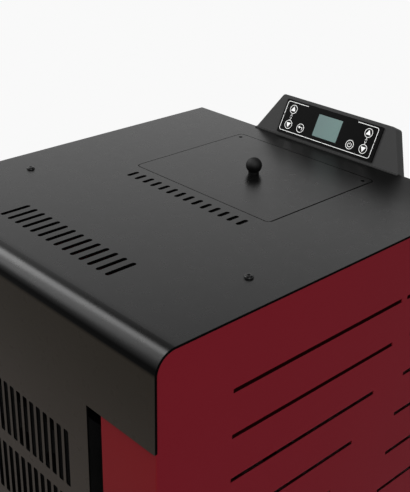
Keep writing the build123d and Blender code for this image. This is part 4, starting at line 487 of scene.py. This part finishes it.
# ---------------------------------------------------------------- keypad print
# The print is laid out in millimetres in the console's leaning face: across, up and outwards.
LEAN = math.radians(26.5)
FACE_FOOT = Vector((0, CONSOLE_FOOT + 2.5 * MM, 930 * MM))
FACE_UP = Vector((0, math.sin(LEAN), math.cos(LEAN)))
FACE_OUT = Vector((0, -math.cos(LEAN), math.sin(LEAN)))
FOIL_PRINT, KEY_PRINT = 2.02, 2.27
INK_THICKNESS = 0.06
PRINT_MIDDLE = -3.7
LINE = 0.75
RING = 6.15
SIGN_LINE = 0.8
LINK_LINE, LINK_LOOP = 0.6, 0.55
KEY_OUTER, KEY_INNER = 67.7, 45.0
KEY_LOW, KEY_HIGH = 18.0, 40.8


def on_face(x, up, out):
    """A point in the console's face plane, from millimetres."""
    return FACE_FOOT + Vector((x * MM, 0, 0)) + FACE_UP * (up * MM) + FACE_OUT * (out * MM)


def flat_piece(name, outlines, material, body, out):
    """Thin closed prisms on the console's face, one per outline, as a single piece."""
    mesh = bpy.data.meshes.new(name)
    bm = bmesh.new()
    for outline in outlines:
        low = [bm.verts.new(on_face(x, up, out)) for x, up in outline]
        high = [bm.verts.new(on_face(x, up, out + INK_THICKNESS)) for x, up in outline]
        count = len(outline)
        bm.faces.new(high)
        bm.faces.new(list(reversed(low)))
        for i in range(count):
            j = (i + 1) % count
            bm.faces.new((low[i], low[j], high[j], high[i]))
    bmesh.ops.recalc_face_normals(bm, faces=bm.faces)
    bm.to_mesh(mesh)
    bm.free()
    obj = bpy.data.objects.new(name, mesh)
    bpy.context.collection.objects.link(obj)
    obj.data.materials.append(material)
    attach(obj, body)


def ribbon(points, width):
    """Outlines of the straight pieces of a line of the given width, mitred at its corners."""
    sides = []
    for i, point in enumerate(points):
        before = Vector(points[max(i - 1, 0)])
        after = Vector(points[min(i + 1, len(points) - 1)])
        here = Vector(point)
        ways = [d.normalized() for d in (here - before, after - here) if d.length > 1e-6]
        way = sum(ways, Vector((0, 0))).normalized()
        normal = Vector((-way.y, way.x))
        stretch = 1 / max(0.5, normal.dot(Vector((-ways[0].y, ways[0].x))))
        aside = normal * width / 2 * stretch
        sides.append((here + aside, here - aside))
    return [[*near, far[1], far[0]] for near, far in zip(sides, sides[1:])]


def arc(cx, cy, radius, start, end, steps):
    """Points along an arc, from degrees."""
    turns = [math.radians(start + (end - start) * i / steps) for i in range(steps + 1)]
    return [(cx + radius * math.cos(turn), cy + radius * math.sin(turn)) for turn in turns]


def corner(x, up, start):
    """A rounded corner of the outline, of a quarter turn from degrees."""
    return arc(x, up, CORNER, start, start + 90, 8)


# The white outline: four runs with small breaks between them.
CORNER = 3.2
left_x, right_x, low_up, high_up = PRINT_MIDDLE - 81.2, PRINT_MIDDLE + 81.2, 8.0, 50.8
left_turn, right_turn = left_x + CORNER, right_x - CORNER
low_turn, high_turn = low_up + CORNER, high_up - CORNER
break_low, break_high = 29.6, 31.0
runs = (
    [(PRINT_MIDDLE - 43.7, high_up), *corner(left_turn, high_turn, 90), (left_x, break_high)],
    [(left_x, break_low), *corner(left_turn, low_turn, 180), (PRINT_MIDDLE - 0.7, low_up)],
    [(PRINT_MIDDLE + 0.7, low_up), *corner(right_turn, low_turn, 270), (right_x, break_low)],
    [(right_x, break_high), *corner(right_turn, high_turn, 0), (PRINT_MIDDLE + 45.5, high_up)],
)
outline_faces = [face for run in runs for face in ribbon(run, LINE)]
flat_piece("keypad_outline", outline_faces, white_ink, "casing", FOIL_PRINT)


def key_sign(key, cx, cy):
    """Outlines of the sign on a key: a triangle, a power sign or an exit arrow."""
    if key.endswith("up"):
        return [[(cx - 4.0, cy - 2.7), (cx + 4.0, cy - 2.7), (cx, cy + 4.3)]]
    if key.endswith("down"):
        return [[(cx + 4.0, cy + 2.7), (cx - 4.0, cy + 2.7), (cx, cy - 4.3)]]
    if key == "key_power":
        return ribbon(arc(cx, cy - 0.4, 3.0, 125, 415, 24), SIGN_LINE) + ribbon(
            [(cx, cy + 0.2), (cx, cy + 3.6)], SIGN_LINE
        )
    shaft = [(cx + 3.2, cy - 2.4), (cx + 3.2, cy + 1.2), (cx - 1.0, cy + 1.2)]
    head = [(cx - 4.0, cy + 1.2), (cx - 1.0, cy - 1.1), (cx - 1.0, cy + 3.5)]
    return [*ribbon(shaft, SIGN_LINE), head]


key_centres = {
    "key_left_up": (PRINT_MIDDLE - KEY_OUTER, KEY_HIGH),
    "key_left_down": (PRINT_MIDDLE - KEY_OUTER, KEY_LOW),
    "key_escape": (PRINT_MIDDLE - KEY_INNER, KEY_LOW),
    "key_power": (PRINT_MIDDLE + KEY_INNER, KEY_LOW),
    "key_right_up": (PRINT_MIDDLE + KEY_OUTER, KEY_HIGH),
    "key_right_down": (PRINT_MIDDLE + KEY_OUTER, KEY_LOW),
}
rings = []
for key, (cx, cy) in key_centres.items():
    rings += ribbon(arc(cx, cy, RING, 0, 360, 48), LINE)
    flat_piece(key + "_print", key_sign(key, cx, cy), white_ink, key, KEY_PRINT)
flat_piece("key_rings", rings, white_ink, "casing", FOIL_PRINT)

# Two linked loops between the upper and the lower key at each side.
for side, cx in (("left", PRINT_MIDDLE - KEY_OUTER), ("right", PRINT_MIDDLE + KEY_OUTER)):
    link = ribbon([(cx, 34.6), (cx, 31.6)], LINK_LINE)
    link += ribbon([(cx, 27.4), (cx, 24.4)], LINK_LINE)
    link += ribbon(arc(cx, 30.7, 1.3, -30, 210, 12), LINK_LOOP)
    link += ribbon(arc(cx, 28.3, 1.3, 150, 390, 12), LINK_LOOP)
    flat_piece(f"link_print_{side}", link, white_ink, "casing", FOIL_PRINT)

# ---------------------------------------------------------------- floor
FLOOR_RADIUS = 1.2
FADE_START, FADE_END = 0.6, 1.15
BACKDROP = 0.947


def seen_rays(tree):
    """One for rays that show the background, straight, mirrored or through glass; else zero."""
    path = tree.nodes.new("ShaderNodeLightPath")
    direct = worked(
        tree, "MAXIMUM", path.outputs["Is Camera Ray"], path.outputs["Is Glossy Ray"]
    )
    return worked(tree, "MAXIMUM", direct, path.outputs["Is Transmission Ray"])


floor_mesh = bpy.data.meshes.new("floor")
bm = bmesh.new()
bmesh.ops.create_circle(bm, cap_ends=True, segments=96, radius=FLOOR_RADIUS)
bm.to_mesh(floor_mesh)
bm.free()
floor = bpy.data.objects.new("floor", floor_mesh)
bpy.context.collection.objects.link(floor)
floor_mat, tree, shader, out = new_material("floor_white")
shader.inputs["Base Color"].default_value = (*grey(0.75), 1)
shader.inputs["Roughness"].default_value = 0.9
# The floor turns into the backdrop's own tone with distance.
glow = tree.nodes.new("ShaderNodeEmission")
glow.inputs["Color"].default_value = (*grey(BACKDROP), 1)
coord = tree.nodes.new("ShaderNodeTexCoord")
away = tree.nodes.new("ShaderNodeVectorMath")
away.operation = "LENGTH"
tree.links.new(coord.outputs["Object"], away.inputs[0])
fade = product(tree, eased(tree, away.outputs["Value"], FADE_START, FADE_END), seen_rays(tree))
blend = tree.nodes.new("ShaderNodeMixShader")
tree.links.new(fade, blend.inputs["Fac"])
tree.links.new(shader.outputs["BSDF"], blend.inputs[1])
tree.links.new(glow.outputs["Emission"], blend.inputs[2])
tree.links.new(blend.outputs["Shader"], out.inputs["Surface"])
floor.data.materials.append(floor_mat)

# ---------------------------------------------------------------- surroundings
HORIZON_COLOUR, ZENITH_COLOUR = (0.35, 0.345, 0.34, 1), (0.60, 0.60, 0.60, 1)
DUSK_START, DUSK_END, DUSK_TONE = 0.545, 0.635, 0.02
DUSK_LEAN = (0.055, 0.058, 1.0)

world = bpy.data.worlds.new("surroundings")
bpy.context.scene.world = world
world.use_nodes = True
tree = world.node_tree
tree.nodes.clear()
out = tree.nodes.new("ShaderNodeOutputWorld")
coord = tree.nodes.new("ShaderNodeTexCoord")
split = tree.nodes.new("ShaderNodeSeparateXYZ")
tree.links.new(coord.outputs["Generated"], split.inputs["Vector"])
height = tree.nodes.new("ShaderNodeValToRGB")
height.color_ramp.elements[0].color = HORIZON_COLOUR
height.color_ramp.elements[1].color = ZENITH_COLOUR
tree.links.new(ranged(tree, split.outputs["Z"], 0.5, 1.0), height.inputs["Fac"])
sky = tree.nodes.new("ShaderNodeBackground")
tree.links.new(height.outputs["Color"], sky.inputs["Color"])
# The backdrop goes dark towards the ceiling.
tilt = tree.nodes.new("ShaderNodeVectorMath")
tilt.operation = "DOT_PRODUCT"
tilt.inputs[1].default_value = DUSK_LEAN
tree.links.new(coord.outputs["Generated"], tilt.inputs[0])
dusk = eased(tree, tilt.outputs["Value"], DUSK_START, DUSK_END, BACKDROP, DUSK_TONE)
plain = tree.nodes.new("ShaderNodeBackground")
tree.links.new(dusk, plain.inputs["Color"])
pick = tree.nodes.new("ShaderNodeMixShader")
tree.links.new(seen_rays(tree), pick.inputs["Fac"])
tree.links.new(sky.outputs["Background"], pick.inputs[1])
tree.links.new(plain.outputs["Background"], pick.inputs[2])
tree.links.new(pick.outputs["Shader"], out.inputs["Surface"])

# ---------------------------------------------------------------- lamps
TOP = Vector((0, 0, 0.93))


def softbox(name, away_from_top, size_x, size_y, power):
    """A rectangular lamp at a place seen from the middle of the top, and aimed at it."""
    light = bpy.data.lights.new(name, "AREA")
    light.shape = "RECTANGLE"
    light.size = size_x
    light.size_y = size_y
    light.energy = power
    obj = bpy.data.objects.new(name, light)
    bpy.context.collection.objects.link(obj)
    obj.location = TOP + away_from_top
    obj.rotation_euler = (TOP - obj.location).to_track_quat("-Z", "Y").to_euler()


softbox("strip_left", Vector((-0.667, -0.16, 0.727)) * 3.0, 1.0, 2.4, 46.0)
softbox("glow_left", Vector((-0.668, -0.47, 0.577)) * 3.0, 1.2, 2.4, 21.0)
softbox("key_right", Vector((2.6, -1.4, 2.0)), 1.6, 1.6, 78.0)

# ---------------------------------------------------------------- camera
AZIMUTH, ELEVATION, ROLL = math.radians(46.74), math.radians(23.54), math.radians(0.99)
CAMERA_PLACE = Vector((787.18, -713.68, 1379.83)) * MM
FOCAL_PIXELS, LONG_SIDE_PIXELS = 940.8, 492.0
SENSOR = 36.0

back = Vector(
    (
        math.sin(AZIMUTH) * math.cos(ELEVATION),
        -math.cos(AZIMUTH) * math.cos(ELEVATION),
        math.sin(ELEVATION),
    )
)
right = Vector((math.cos(AZIMUTH), math.sin(AZIMUTH), 0))
up = back.cross(right)
right_rolled = right * math.cos(ROLL) + up * math.sin(ROLL)
up_rolled = up * math.cos(ROLL) - right * math.sin(ROLL)
axes = Matrix((right_rolled, up_rolled, back)).transposed().to_4x4()
camera_data = bpy.data.cameras.new("camera")
camera = bpy.data.objects.new("camera", camera_data)
bpy.context.collection.objects.link(camera)
camera.matrix_world = Matrix.Translation(CAMERA_PLACE) @ axes
camera_data.sensor_width = SENSOR
camera_data.sensor_fit = "AUTO"
camera_data.lens = FOCAL_PIXELS * SENSOR / LONG_SIDE_PIXELS
camera_data.shift_y = -0.0833
camera_data.clip_start = 0.05
camera_data.clip_end = 60.0
bpy.context.scene.camera = camera
bpy.context.scene.view_settings.view_transform = "Standard"
